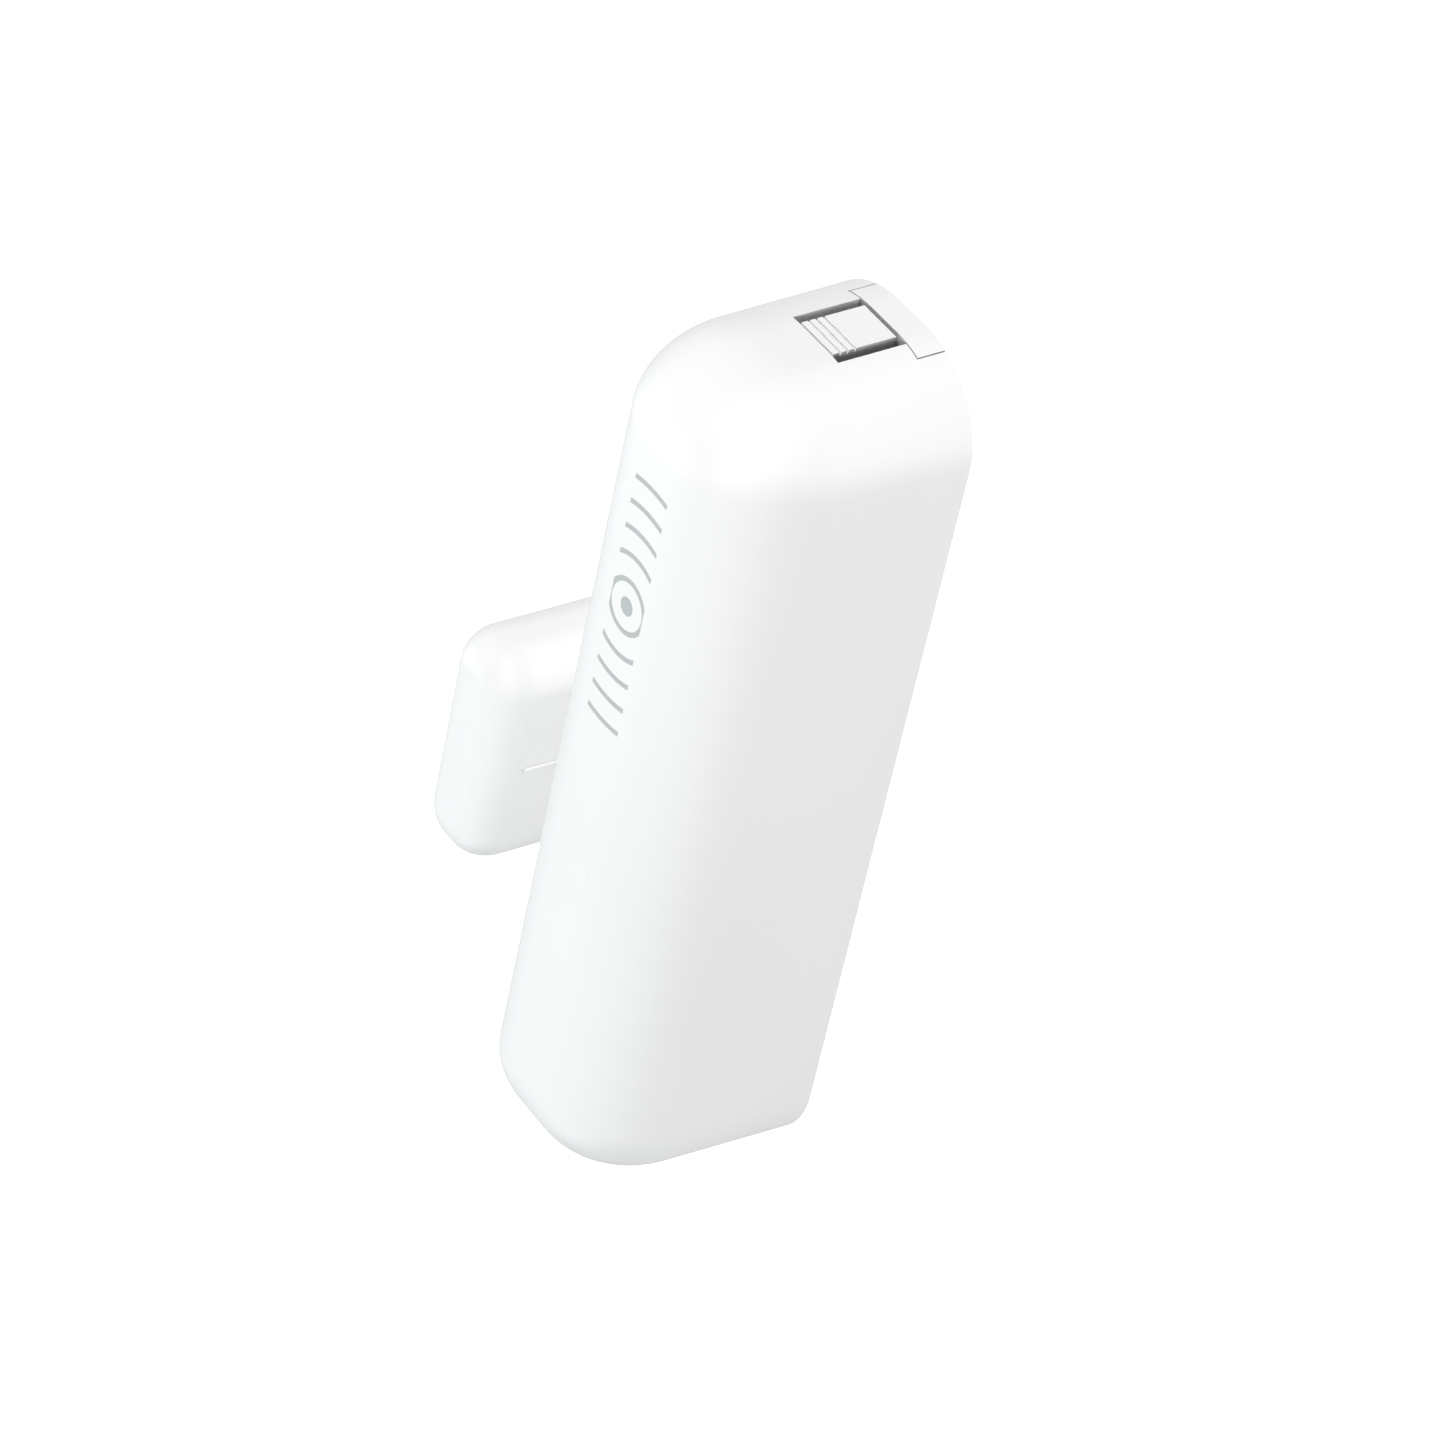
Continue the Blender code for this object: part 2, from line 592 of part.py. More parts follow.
def make_board_blocks():
    shield = board_part("radio_shield", 2.0 * MM, -7.2 * MM, 8.4 * MM, 10.5 * MM, 1.8 * MM,
                        material("radio_shield", (0.66, 0.67, 0.68), 0.35, metallic=1.0))
    chip = board_part("controller_chip", -0.2 * MM, -16.6 * MM, 5.0 * MM, 5.0 * MM, 0.9 * MM,
                      material("controller_chip", (0.03, 0.03, 0.035), 0.5))
    crystal = board_part("crystal_can", 4.9 * MM, -16.4 * MM, 2.2 * MM, 4.6 * MM, 1.2 * MM,
                         material("crystal_can", (0.72, 0.72, 0.70), 0.25, metallic=1.0), 0.3 * MM)
    return shield, chip, crystal


def make_helical_antenna():
    """Six turns along x near the board's lower end, with one leg down to the board."""
    copper = material("helical_antenna", (0.72, 0.45, 0.28), 0.3, metallic=1.0)
    turns, per_turn, radius, pitch = 6, 10, 1.7 * MM, 1.1 * MM
    centre_depth, centre_z, first_x = BOARD_BACK - 2.9 * MM, -26.4 * MM, -3.2 * MM
    points = [(first_x - 0.6 * MM, at(COMPONENT_FOOT), centre_z - radius)]
    for i in range(turns * per_turn + 1):
        angle = 2 * math.pi * i / per_turn
        points.append((first_x + pitch * i / per_turn, at(centre_depth) + radius * math.sin(angle),
                       centre_z - radius * math.cos(angle)))
    return wire("helical_antenna", points, 0.25 * MM, copper)


def make_reed_switch():
    glass = material("reed_switch_glass", (0.75, 0.85, 0.80), 0.05, transmission=0.8)
    nickel_upper = material("reed_switch_lead_upper", (0.66, 0.65, 0.62), 0.3, metallic=1.0)
    nickel_lower = material("reed_switch_lead_lower", (0.66, 0.65, 0.62), 0.3, metallic=1.0)
    x, depth = REED_X, BOARD_BACK - 1.7 * MM
    half = REED_HALF_LENGTH
    bore, shoulder, taper = 0.36 * MM, 0.54 * MM, 0.7 * MM
    profile = [(bore, half), (shoulder, half), (REED_RADIUS, half - taper), (REED_RADIUS, taper - half),
               (shoulder, -half), (bore, -half), (bore, half)]
    tube = turned("reed_switch_glass", profile, (x, at(depth), MAGNET_Z), (0, 0, 1), glass, steps=16)
    leads = []
    for name, sign, shift, mat in (("reed_switch_lead_upper", 1, 0.12 * MM, nickel_upper),
                                   ("reed_switch_lead_lower", -1, -0.12 * MM, nickel_lower)):
        y = at(depth) + shift
        outer_z = MAGNET_Z + sign * (half + 1.6 * MM)
        points = [(x, y, MAGNET_Z - sign * 0.6 * MM), (x, y, MAGNET_Z + sign * half),
                  (x, y, outer_z - sign * 0.4 * MM), (x, y - 0.4 * MM, outer_z),
                  (x, at(BOARD_BACK - 0.08 * MM), outer_z)]
        leads.append(wire(name, points, 0.09 * MM, mat))
    return tube, leads[0], leads[1]


def make_status_led():
    mat = material("status_led", (0.85, 0.88, 0.9), 0.15, transmission=0.4)
    foot = BOARD_BACK + BOARD_THICKNESS + 0.1 * MM
    lens, flange = 1.5 * MM, 1.9 * MM
    dome = [(lens * math.sin(a), 3.4 * MM + 1.3 * MM * math.cos(a))
            for a in (math.radians(15 * i) for i in range(7))]
    profile = dome + [(lens, 0.9 * MM), (flange, 0.9 * MM), (flange, 0.0), (0.0, 0.0)]
    return turned("status_led", profile, (0, at(foot), LED_Z), (0, -1, 0), mat, steps=20)


def make_bulk_capacitor():
    mat = material("bulk_capacitor", (0.10, 0.12, 0.20), 0.35)
    radius, neck, height = 2.15 * MM, 1.95 * MM, 5.4 * MM
    profile = [(0, height), (1.9 * MM, height), (radius, height - 0.25 * MM), (radius, 1.3 * MM),
               (neck, 1.05 * MM), (radius, 0.8 * MM), (radius, 0.0), (0, 0)]
    return turned("bulk_capacitor", profile, (-4.7 * MM, at(COMPONENT_FOOT), -4.2 * MM), (0, 1, 0), mat,
                  steps=20)


def make_tamper_switch():
    black = material("tamper_switch_base", (0.04, 0.04, 0.045), 0.45)
    white = material("tamper_plunger", (0.80, 0.80, 0.78), 0.4)
    base = box("tamper_switch_base",
               (TAMPER_X - TAMPER_HALF_SIZE, at(COMPONENT_FOOT), TAMPER_Z - TAMPER_HALF_SIZE),
               (TAMPER_X + TAMPER_HALF_SIZE, at(TAMPER_BASE_BACK), TAMPER_Z + TAMPER_HALF_SIZE), black)
    cut(base, cylinder("plunger_bore", (TAMPER_X, at(COMPONENT_FOOT - 0.5 * MM), TAMPER_Z),
                       (TAMPER_X, at(TAMPER_BASE_BACK - OVERSHOOT), TAMPER_Z), PLUNGER_RADIUS + 0.1 * MM,
                       segments=20))
    root = COMPONENT_FOOT - 1.5 * MM
    tip = PLATE_THICKNESS + GAP
    length = root - tip
    profile = [(0, length), (0.5 * MM, length), (PLUNGER_RADIUS, length - 0.4 * MM),
               (PLUNGER_RADIUS, 0), (0, 0)]
    plunger = turned("tamper_plunger", profile, (TAMPER_X, at(root), TAMPER_Z), (0, 1, 0), white, steps=20)
    return base, plunger


def make_board_screws():
    screws = []
    for name, sign in (("board_screw_left", -1), ("board_screw_right", 1)):
        steel = material(name, (0.55, 0.56, 0.58), 0.3, metallic=1.0)
        profile = [(0, 0.9 * MM), (1.1 * MM, 0.85 * MM), (1.5 * MM, 0.5 * MM), (1.5 * MM, 0.0),
                   (0.7 * MM, 0.0), (0.7 * MM, -2.9 * MM), (0.35 * MM, -3.3 * MM), (0, -3.3 * MM)]
        base = (sign * BOARD_SCREW_X, at(COMPONENT_FOOT), BOARD_SCREW_Z)
        screws.append(turned(name, profile, base, (0, 1, 0), steel, steps=16))
    return screws


# ---------------------------------------------------------------- release latch
def make_release_latch():
    """Press-in lever: ribbed plate, knuckle round the pin, and a leg with the catch tooth."""
    mat = material("release_latch", WHITE_SHELL, 0.35)
    under = HOUSING_LENGTH / 2 - LATCH_THICKNESS
    plate_points = [(at(LATCH_BACK), under), (at(LATCH_BACK), end_height(LATCH_BACK))]
    for i in reversed(range(GRIP_GROOVES)):
        middle = LATCH_FRONT - GRIP_PITCH * (i + 1)
        top = end_height(middle)
        plate_points += [(at(middle) + GRIP_WIDTH / 2, top), (at(middle), top - GRIP_DEPTH),
                         (at(middle) - GRIP_WIDTH / 2, top)]
    plate_points += [(at(LATCH_FRONT), end_height(LATCH_FRONT)), (at(LATCH_FRONT), under)]
    latch = flat_shape("release_latch", plate_points, -LATCH_HALF_WIDTH, LATCH_HALF_WIDTH, SIDE_VIEW, mat)
    tooth_top = LIP_BOTTOM - TOOTH_SHORTFALL
    foot_top, foot_bottom = 35.2 * MM, 34.5 * MM
    leg_front = LATCH_BACK + 0.9 * MM
    tooth_front = TAB_DEPTH - LIP_DEPTH - GAP
    tooth_back = tooth_front - 0.8 * MM
    leg_back = LATCH_BACK + 0.02 * MM
    leg_top = under + 0.3 * MM
    leg_points = [(at(leg_front), leg_top), (at(leg_front), foot_bottom), (at(tooth_back), foot_bottom),
                  (at(tooth_back), tooth_top - 0.25 * MM), (at(tooth_front - 0.3 * MM), tooth_top),
                  (at(tooth_front), tooth_top), (at(tooth_front), foot_top), (at(leg_back), foot_top),
                  (at(leg_back), leg_top)]
    half = LATCH_HALF_WIDTH - 0.2 * MM
    join(latch, flat_shape("latch_leg", leg_points, -half, half, SIDE_VIEW))
    for x_low, x_high in ((-half, -0.9 * MM), (0.9 * MM, half)):
        join(latch, cylinder("knuckle", (x_low, at(PIN_DEPTH), PIN_HEIGHT),
                             (x_high, at(PIN_DEPTH), PIN_HEIGHT), KNUCKLE_RADIUS, segments=20))
        join(latch, box("web", (x_low, at(PIN_DEPTH + 0.35 * MM), PIN_HEIGHT),
                        (x_high, at(PIN_DEPTH - 0.9 * MM), leg_top)))
    cut(latch, cylinder("knuckle_bore", (-LATCH_HALF_WIDTH - OVERSHOOT, at(PIN_DEPTH), PIN_HEIGHT),
                        (LATCH_HALF_WIDTH + OVERSHOOT, at(PIN_DEPTH), PIN_HEIGHT), PIN_RADIUS + PIN_CLEARANCE,
                        segments=16))
    move_origin(latch, (0, at(PIN_DEPTH), PIN_HEIGHT))
    return latch


def make_latch_pin():
    steel = material("latch_pivot_pin", (0.60, 0.61, 0.63), 0.25, metallic=1.0)
    return cylinder("latch_pivot_pin", (-PIN_HALF_LENGTH, at(PIN_DEPTH), PIN_HEIGHT),
                    (PIN_HALF_LENGTH, at(PIN_DEPTH), PIN_HEIGHT), PIN_RADIUS, steel, segments=16)


def make_torsion_spring():
    """Two turns round the pin between the knuckles; both legs run back towards the wall plate."""
    steel = material("latch_torsion_spring", (0.55, 0.56, 0.58), 0.3, metallic=1.0)
    radius, wire_radius, turns, per_turn, pitch = 0.78 * MM, 0.12 * MM, 2, 10, 0.42 * MM
    first_x = -pitch * turns / 2
    centre_y, centre_z = at(PIN_DEPTH), PIN_HEIGHT
    points = [(first_x - 0.1 * MM, centre_y + 2.2 * MM, centre_z - 0.85 * MM)]
    count = turns * per_turn
    for i in range(count + 1):
        angle = -math.pi / 2 - 2 * math.pi * i / per_turn
        points.append((first_x + pitch * i / per_turn, centre_y + radius * math.cos(angle),
                       centre_z + radius * math.sin(angle)))
    points.append((-first_x + 0.1 * MM, centre_y - 0.7 * MM, centre_z - 0.9 * MM))
    return wire("latch_torsion_spring", points, wire_radius, steel)


# ---------------------------------------------------------------- magnet unit
def make_magnet_unit():
    foam = material("magnet_adhesive_pad", (0.72, 0.73, 0.74), 0.9)
    white = material("magnet_cover", WHITE_SHELL, 0.32)
    base_white = material("magnet_base_plate", WHITE_SHELL, 0.4)
    ferrite = material("bar_magnet", (0.16, 0.16, 0.17), 0.4, metallic=0.8)
    soft = material("magnet_foam_block", (0.12, 0.12, 0.12), 0.9)
    pad = plate("magnet_adhesive_pad", MAGNET_X, MAGNET_Z, 2.7 * MM, 8.8 * MM, 0.8 * MM,
                -PAD_THICKNESS, -0.02 * MM, foam)
    cover = magnet_form("magnet_cover", mat=white)
    cut(cover, magnet_form("magnet_hollow", MAGNET_WALL, -OVERSHOOT))
    side_x = MAGNET_X + MAGNET_WIDTH / 2
    join(cover, box("magnet_rib",
                    (side_x - 0.6 * MM, at(MAGNET_DEPTH - MAGNET_FILLET_DEPTH), MAGNET_Z - MARK_HALF_HEIGHT),
                    (side_x + MARK_PROUD, at(0.6 * MM), MAGNET_Z + MARK_HALF_HEIGHT)))
    smooth(cover)
    edge = MAGNET_WALL + 0.15 * MM
    base = plate("magnet_base_plate", MAGNET_X, MAGNET_Z, MAGNET_WIDTH / 2 - edge, MAGNET_LENGTH / 2 - edge,
                 MAGNET_CORNER - edge, 0, MAGNET_PLATE, base_white)
    bar_back = MAGNET_PLATE + GAP
    magnet = box("bar_magnet",
                 (MAGNET_X - BAR_HALF_WIDTH, at(bar_back + BAR_THICKNESS), MAGNET_Z - BAR_HALF_LENGTH),
                 (MAGNET_X + BAR_HALF_WIDTH, at(bar_back), MAGNET_Z + BAR_HALF_LENGTH), ferrite)
    bevel(magnet, 0.3 * MM)
    foam_back = bar_back + BAR_THICKNESS + GAP
    half_x, half_z = BAR_HALF_WIDTH - 0.1 * MM, BAR_HALF_LENGTH - 0.5 * MM
    foam_block = box("magnet_foam_block", (MAGNET_X - half_x, at(foam_back + 4.4 * MM), MAGNET_Z - half_z),
                     (MAGNET_X + half_x, at(foam_back), MAGNET_Z + half_z), soft)
    return pad, cover, base, magnet, foam_block


# ---------------------------------------------------------------- assembly
def assemble():
    make_adhesive_pad()
    make_back_plate()
    swing = empty("cover_swing", SWING_AXIS)
    base, plunger = make_tamper_switch()
    latch = make_release_latch()
    sensor_parts = [make_front_housing(), make_inner_chassis(), *make_battery(), *make_contacts(),
                    make_circuit_board(), *make_board_blocks(), make_helical_antenna(), *make_reed_switch(),
                    make_status_led(), make_bulk_capacitor(), base, plunger, *make_board_screws(),
                    make_latch_pin(), make_torsion_spring(), latch]
    hang_on(swing, *sensor_parts)
    slide = empty("magnet_slide", (MAGNET_X, BACK, MAGNET_Z))
    hang_on(slide, *make_magnet_unit())


assemble()
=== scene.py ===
import math

import bmesh
import bpy
from mathutils import Matrix, Vector


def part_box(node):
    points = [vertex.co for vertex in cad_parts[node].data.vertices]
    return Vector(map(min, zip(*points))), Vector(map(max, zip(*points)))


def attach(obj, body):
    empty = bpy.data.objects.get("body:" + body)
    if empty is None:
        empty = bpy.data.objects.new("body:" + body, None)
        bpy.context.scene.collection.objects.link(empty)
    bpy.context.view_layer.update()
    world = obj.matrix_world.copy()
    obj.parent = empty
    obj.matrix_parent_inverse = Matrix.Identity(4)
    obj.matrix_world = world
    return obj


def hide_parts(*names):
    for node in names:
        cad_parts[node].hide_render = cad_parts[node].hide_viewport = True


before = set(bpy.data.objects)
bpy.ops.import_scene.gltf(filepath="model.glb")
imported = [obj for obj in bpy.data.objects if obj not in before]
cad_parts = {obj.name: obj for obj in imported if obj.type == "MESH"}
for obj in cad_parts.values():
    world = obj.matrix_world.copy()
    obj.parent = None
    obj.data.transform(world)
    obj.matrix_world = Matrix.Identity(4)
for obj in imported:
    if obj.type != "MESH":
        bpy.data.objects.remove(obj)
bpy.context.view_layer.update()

MM = 0.001  # lengths are in millimetres in this script, and MM takes them to the frame's metres
X, Y, Z = 0, 1, 2


def box_of(node):
    """Low and high corner of a CAD node's box, in millimetres."""
    return [[value / MM for value in corner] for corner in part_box(node)]


# ---------------------------------------------------------------- sizes, read from the frame where it has them
HOUSING_LOW, HOUSING_HIGH = box_of("front_housing")
MAGNET_LOW, MAGNET_HIGH = box_of("magnet_cover")
PLATE_HIGH = box_of("back_plate")[1]

BACK = PLATE_HIGH[Y]  # the plane of both housings' rims
HALF_WIDTH = HOUSING_HIGH[X]
HALF_LENGTH = PLATE_HIGH[Z]
DEPTH = BACK - HOUSING_LOW[Y]
CORNER_X, CORNER_Z = 8.0, 7.35
FILLET_INSET, FILLET_DEPTH = 7.64, 9.2
DRAFT = 0.36
WALL = 1.2
FRONT_WALL = 1.4
FLAT_CORNER = 0.35
OVER = 1.0  # how far a cutting tool runs past the solid
MARK_PROUD, MARK_HALF = 0.14, 0.18  # the alignment lines on both units

TAB_HALF_WIDTH, TAB_DEPTH = 4.24, 2.42
SEAM = 0.1
WINDOW_HALF_WIDTH, WINDOW_FRONT = 2.87, 8.4
HOOK_SLOT_HALF_WIDTH, HOOK_SLOT_BACK, HOOK_SLOT_FRONT = 2.7, 1.1, 2.6
CATCH_HALF_WIDTH = 2.4
MAGNET_CENTRE_Z = (MAGNET_LOW[Z] + MAGNET_HIGH[Z]) / 2

GRIP_GROOVES, GRIP_PITCH = 3, 0.63
GRIP_HALF_WIDTH, GRIP_FLOOR_HALF, GRIP_DEPTH = 0.1, 0.05, 0.3
LATCH_FRONT, LATCH_BACK = 8.22, 2.8
PIN_DEPTH, PIN_HEIGHT = 7.7, 35.15
PIN_BORE = 0.56

PRINT_CENTRE, PRINT_HALF_LENGTH, PRINT_HALF_HEIGHT = 16.6, 10.9, 2.0
PRINT_PITCH, PRINT_STROKE, PRINT_DOT_RADIUS, PRINT_SOFTNESS = 2.1, 0.42, 0.75, 0.04

CELL_RADIUS, CELL_BOTTOM, CELL_TOP, CELL_DEPTH = 7.05, 4.0, 28.0, 10.0
GROOVE_HEIGHT, GROOVE_HALF = 2.1, 0.8
BOARD_BACK, BOARD_FRONT = 9.0, 10.0
FOOT = BOARD_BACK - 0.05  # what stands on the board starts this deep, just under its surface
BOARD_SCREW_X, BOARD_SCREW_Z = 4.86, -30.2
CAPACITOR_X, CAPACITOR_Z = -4.7, -4.2
TAMPER_X, TAMPER_Z = 4.3, -22.0
REED_X, REED_DEPTH, REED_HALF, REED_LEAD = -5.5, 7.3, 5.0, 1.6
LED_Z = -12.0
ANTENNA_X, ANTENNA_DEPTH, ANTENNA_Z, ANTENNA_RADIUS = -3.2, 6.1, -26.4, 1.7
ANTENNA_START_X = ANTENNA_X - 0.6


def at(depth):
    """The y of a plane this deep in front of the rim plane."""
    return BACK - depth


# ---------------------------------------------------------------- camera
CAMERA_AZIMUTH = math.radians(48.21)  # 0 looks along +Y, positive towards +X
CAMERA_ELEVATION = math.radians(38.02)
CAMERA_ROLL = math.radians(12.96)
CAMERA_DISTANCE = 435.5
CAMERA_AIM = Vector((-2.85, -7.07, -0.57)) * MM
CAMERA_LENS, CAMERA_SENSOR = 145.9, 36.0


def towards(azimuth, elevation):
    """The direction from the object to a point at these angles."""
    return Vector((math.sin(azimuth) * math.cos(elevation), -math.cos(azimuth) * math.cos(elevation),
                   math.sin(elevation)))


def facing(direction):
    """The turn of a camera or light that looks against a direction."""
    return (-direction).to_track_quat("-Z", "Y").to_matrix().to_4x4()


def make_camera():
    data = bpy.data.cameras.new("camera")
    data.sensor_width = CAMERA_SENSOR
    data.lens = CAMERA_LENS
    data.clip_start, data.clip_end = 0.01, 50.0
    camera = bpy.data.objects.new("camera", data)
    bpy.context.scene.collection.objects.link(camera)
    back = towards(CAMERA_AZIMUTH, CAMERA_ELEVATION)
    camera.matrix_world = (Matrix.Translation(CAMERA_AIM + back * (CAMERA_DISTANCE * MM)) @ facing(back)
                           @ Matrix.Rotation(CAMERA_ROLL, 4, "Z"))
    bpy.context.scene.camera = camera


# ---------------------------------------------------------------- node materials
WHITE = (0.80, 0.80, 0.80)
PRINT_COLOR = (0.43, 0.46, 0.46)
BAND_SILVER, BAND_GREY = (0.55, 0.57, 0.57), (0.55, 0.57, 0.60)
MASK_DARK, MASK_TRACE, TINNED = (0.008, 0.075, 0.035), (0.02, 0.20, 0.09), (0.62, 0.61, 0.58)
TRACE_PITCH, TRACE_WIDTH, TRACE_PATCH = 0.5, 0.2, 3.4
# Painted shade in creases: how far the AO node looks, in mm; then for each part the dark tone, the AO level
# under which seams darken, and whether only the flanks facing x darken
PAINTED_SHADE_REACH = 1.3
SHELL_PAINTED_SHADE, HOUSING_PAINTED_SHADE = (0.56, 0.5, False), (0.66, 0.5, False)
PLATE_PAINTED_SHADE, LATCH_PAINTED_SHADE = (0.40, 0.5, False), (0.27, 0.1, True)

MOULDED = (  # name, slot, colour, roughness, grains per mm, grain depth in mm, mottling, painted shade in creases
    ("shell_white", "white_shell", WHITE, 0.52, 6.0, 0.004, 0.02, SHELL_PAINTED_SHADE),
    ("housing_white", "white_shell", WHITE, 0.52, 6.0, 0.004, 0.02, HOUSING_PAINTED_SHADE),
    ("plate_white", "white_plate", WHITE, 0.56, 4.0, 0.006, 0.02, PLATE_PAINTED_SHADE),
    ("latch_white", "white_shell", WHITE, 0.52, 5.0, 0.004, 0.02, LATCH_PAINTED_SHADE),
    # near-black chassis plastic, also made this dark as painted shade, so the housing's interior under the
    # latch window reads dark
    ("chassis_black", None, (0.035, 0.036, 0.04), 0.5, 3.0, 0.01, 0.3, None),
    ("chip_epoxy", "black_plastic", (0.02, 0.02, 0.022), 0.55, 12.0, 0.006, 0.3, None),
    ("switch_black", "black_plastic", (0.03, 0.03, 0.033), 0.42, 6.0, 0.005, 0.25, None),
    ("plunger_nylon", "plunger_white", (0.74, 0.72, 0.66), 0.45, 5.0, 0.004, 0.06, None),
    ("chip_ceramic", "black_plastic", (0.36, 0.24, 0.15), 0.45, 8.0, 0.004, 0.25, None),
)
METALS = (  # name, slot, colour, roughness, stretch of the streaks, streaks per mm
    ("cell_can", "cell_can", (0.66, 0.65, 0.63), 0.28, (1, 1, 6), 8.0),
    ("spring_steel", "spring_steel", (0.56, 0.56, 0.57), 0.25, (3, 1, 1), 8.0),
    ("screw_steel", "spring_steel", (0.48, 0.48, 0.50), 0.3, (1, 3, 1), 5.0),
    ("tinned_sheet", "shield_metal", (0.64, 0.65, 0.66), 0.34, (1, 1, 4), 3.0),
    ("solder", "shield_metal", (0.62, 0.62, 0.62), 0.3, (1, 1, 1), 2.0),
    ("reed_nickel", "spring_steel", (0.58, 0.57, 0.54), 0.3, (1, 1, 0.3), 8.0),
    ("enamelled_copper", "antenna_copper", (0.72, 0.36, 0.17), 0.22, (4, 1, 1), 8.0),
    ("ferrite", None, (0.15, 0.15, 0.16), 0.5, (1, 1, 1), 3.0),
)


def feed(tree, node, inputs):
    """Fills a node's inputs: an output is linked, anything else is the input's own value."""
    for key, value in inputs.items():
        if isinstance(value, bpy.types.NodeSocket):
            tree.links.new(value, node.inputs[key])
        else:
            node.inputs[key].default_value = value
    return node


def add_node(tree, kind, inputs, **settings):
    node = tree.nodes.new("ShaderNode" + kind)
    for name, value in settings.items():
        setattr(node, name, value)
    return feed(tree, node, inputs)


def new_material(name, color, roughness, metallic=0.0, **extra):
    mat = bpy.data.materials.new(name)
    mat.use_nodes = True
    tree = mat.node_tree
    extra = {key.replace("_", " "): value for key, value in extra.items()}
    shader = feed(tree, tree.nodes["Principled BSDF"],
                  {"Base Color": (*color, 1.0), "Roughness": roughness, "Metallic": metallic, **extra})
    return mat, tree, shader


def object_place(tree, scale=(1.0, 1.0, 1.0)):
    """The place on the object in millimetres, stretched by the scale."""
    coordinates = add_node(tree, "TexCoord", {})
    return add_node(tree, "Mapping", {"Scale": [factor / MM for factor in scale],
                                      "Vector": coordinates.outputs["Object"]}).outputs["Vector"]


def noise(tree, vector, cycles_per_mm, detail=3.0, rough=0.5):
    return add_node(tree, "TexNoise", {"Scale": cycles_per_mm, "Detail": detail, "Roughness": rough,
                                       "Vector": vector}).outputs["Fac"]


def cells(tree, vector, cell):
    return add_node(tree, "TexVoronoi", {"Scale": 1 / cell, "Vector": vector}).outputs["Distance"]


def ramp(tree, value, low, high, start=0.3, end=0.7):
    """Maps a 0 to 1 value to colours between low and high."""
    node = add_node(tree, "ValToRGB", {"Fac": value})
    first, last = node.color_ramp.elements
    first.position, first.color = start, (*low, 1.0)
    last.position, last.color = end, (*high, 1.0)
    return node.outputs["Color"]


def map_range(tree, value, low, high, start=0.3, end=0.7):
    return add_node(tree, "MapRange", {"From Min": start, "From Max": end, "To Min": low, "To Max": high,
                                       "Value": value}).outputs["Result"]


def bump(tree, shader, height, depth, strength=1.0, under=None):
    inputs = {"Strength": strength, "Distance": depth * MM, "Height": height}
    if under is not None:
        inputs["Normal"] = under
    normal = add_node(tree, "Bump", inputs).outputs["Normal"]
    tree.links.new(normal, shader.inputs["Normal"])
    return normal


def shade(color, factor):
    return tuple(channel * factor for channel in color)


def calc(tree, operation, *values):
    """One Math node; a value is a number or another node's output."""
    return add_node(tree, "Math", dict(enumerate(values)), operation=operation).outputs[0]


def mix_color(tree, share, first, second):
    """first where share is 0, second where it is 1; each is a colour or a node's output."""
    first, second = ((*color, 1.0) if isinstance(color, tuple) else color for color in (first, second))
    return add_node(tree, "Mix", {0: share, 6: first, 7: second}, data_type="RGBA").outputs[2]


def axes(tree, vector):
    return add_node(tree, "SeparateXYZ", {0: vector}).outputs


def below(tree, value, limit, softness):
    """1 where value is under limit, falling to 0 over the softness."""
    return map_range(tree, value, 1.0, 0.0, limit - softness / 2, limit + softness / 2)


def distance(tree, u, v):
    return calc(tree, "SQRT", calc(tree, "ADD", calc(tree, "POWER", u, 2.0), calc(tree, "POWER", v, 2.0)))


def printed_mark(tree, place):
    """The pad print on the front: a dot between two runs of arcs along the housing, cut to a strip."""
    x, y, z = axes(tree, place)
    reach = distance(tree, x, calc(tree, "SUBTRACT", z, PRINT_CENTRE))
    arcs = below(tree, calc(tree, "PINGPONG", reach, PRINT_PITCH / 2), PRINT_STROKE / 2, PRINT_SOFTNESS)
    arcs = calc(tree, "MULTIPLY", arcs, calc(tree, "GREATER_THAN", reach, PRINT_PITCH / 2))
    in_band = below(tree, calc(tree, "ABSOLUTE", x), PRINT_HALF_HEIGHT, PRINT_SOFTNESS)
    arcs = calc(tree, "MULTIPLY", arcs, in_band)
    arcs = calc(tree, "MULTIPLY", arcs, calc(tree, "LESS_THAN", reach, PRINT_HALF_LENGTH))
    dot = below(tree, reach, PRINT_DOT_RADIUS, PRINT_SOFTNESS)
    on_front = calc(tree, "LESS_THAN", y, at(DEPTH - 0.8))
    return calc(tree, "MULTIPLY", calc(tree, "MAXIMUM", arcs, dot), on_front)


def paint_crease_shade(tree, color, dark, deep, flanks_only):
    """Painted shade: the colour darkened where the AO node finds another face close by, on upright faces or
    flanks, and deep in seams.
    """
    near = add_node(tree, "AmbientOcclusion", {"Distance": PAINTED_SHADE_REACH * MM}, samples=12).outputs["AO"]
    facing_x, _, facing_z = axes(tree, add_node(tree, "NewGeometry", {}).outputs["True Normal"])
    if flanks_only:
        turned = calc(tree, "GREATER_THAN", calc(tree, "ABSOLUTE", facing_x), 0.7)
    else:
        turned = calc(tree, "LESS_THAN", calc(tree, "ABSOLUTE", facing_z), 0.3)
    # painted shade on the flanks or upright faces near another face, and deeper painted shade in seams
    beside = calc(tree, "MULTIPLY", map_range(tree, near, 1.0, 0.0, 0.6, 0.92), turned)
    seam = map_range(tree, near, 1.0, 0.0, deep - 0.3, deep)
    return mix_color(tree, calc(tree, "MAXIMUM", beside, seam), color, (dark, dark, dark))


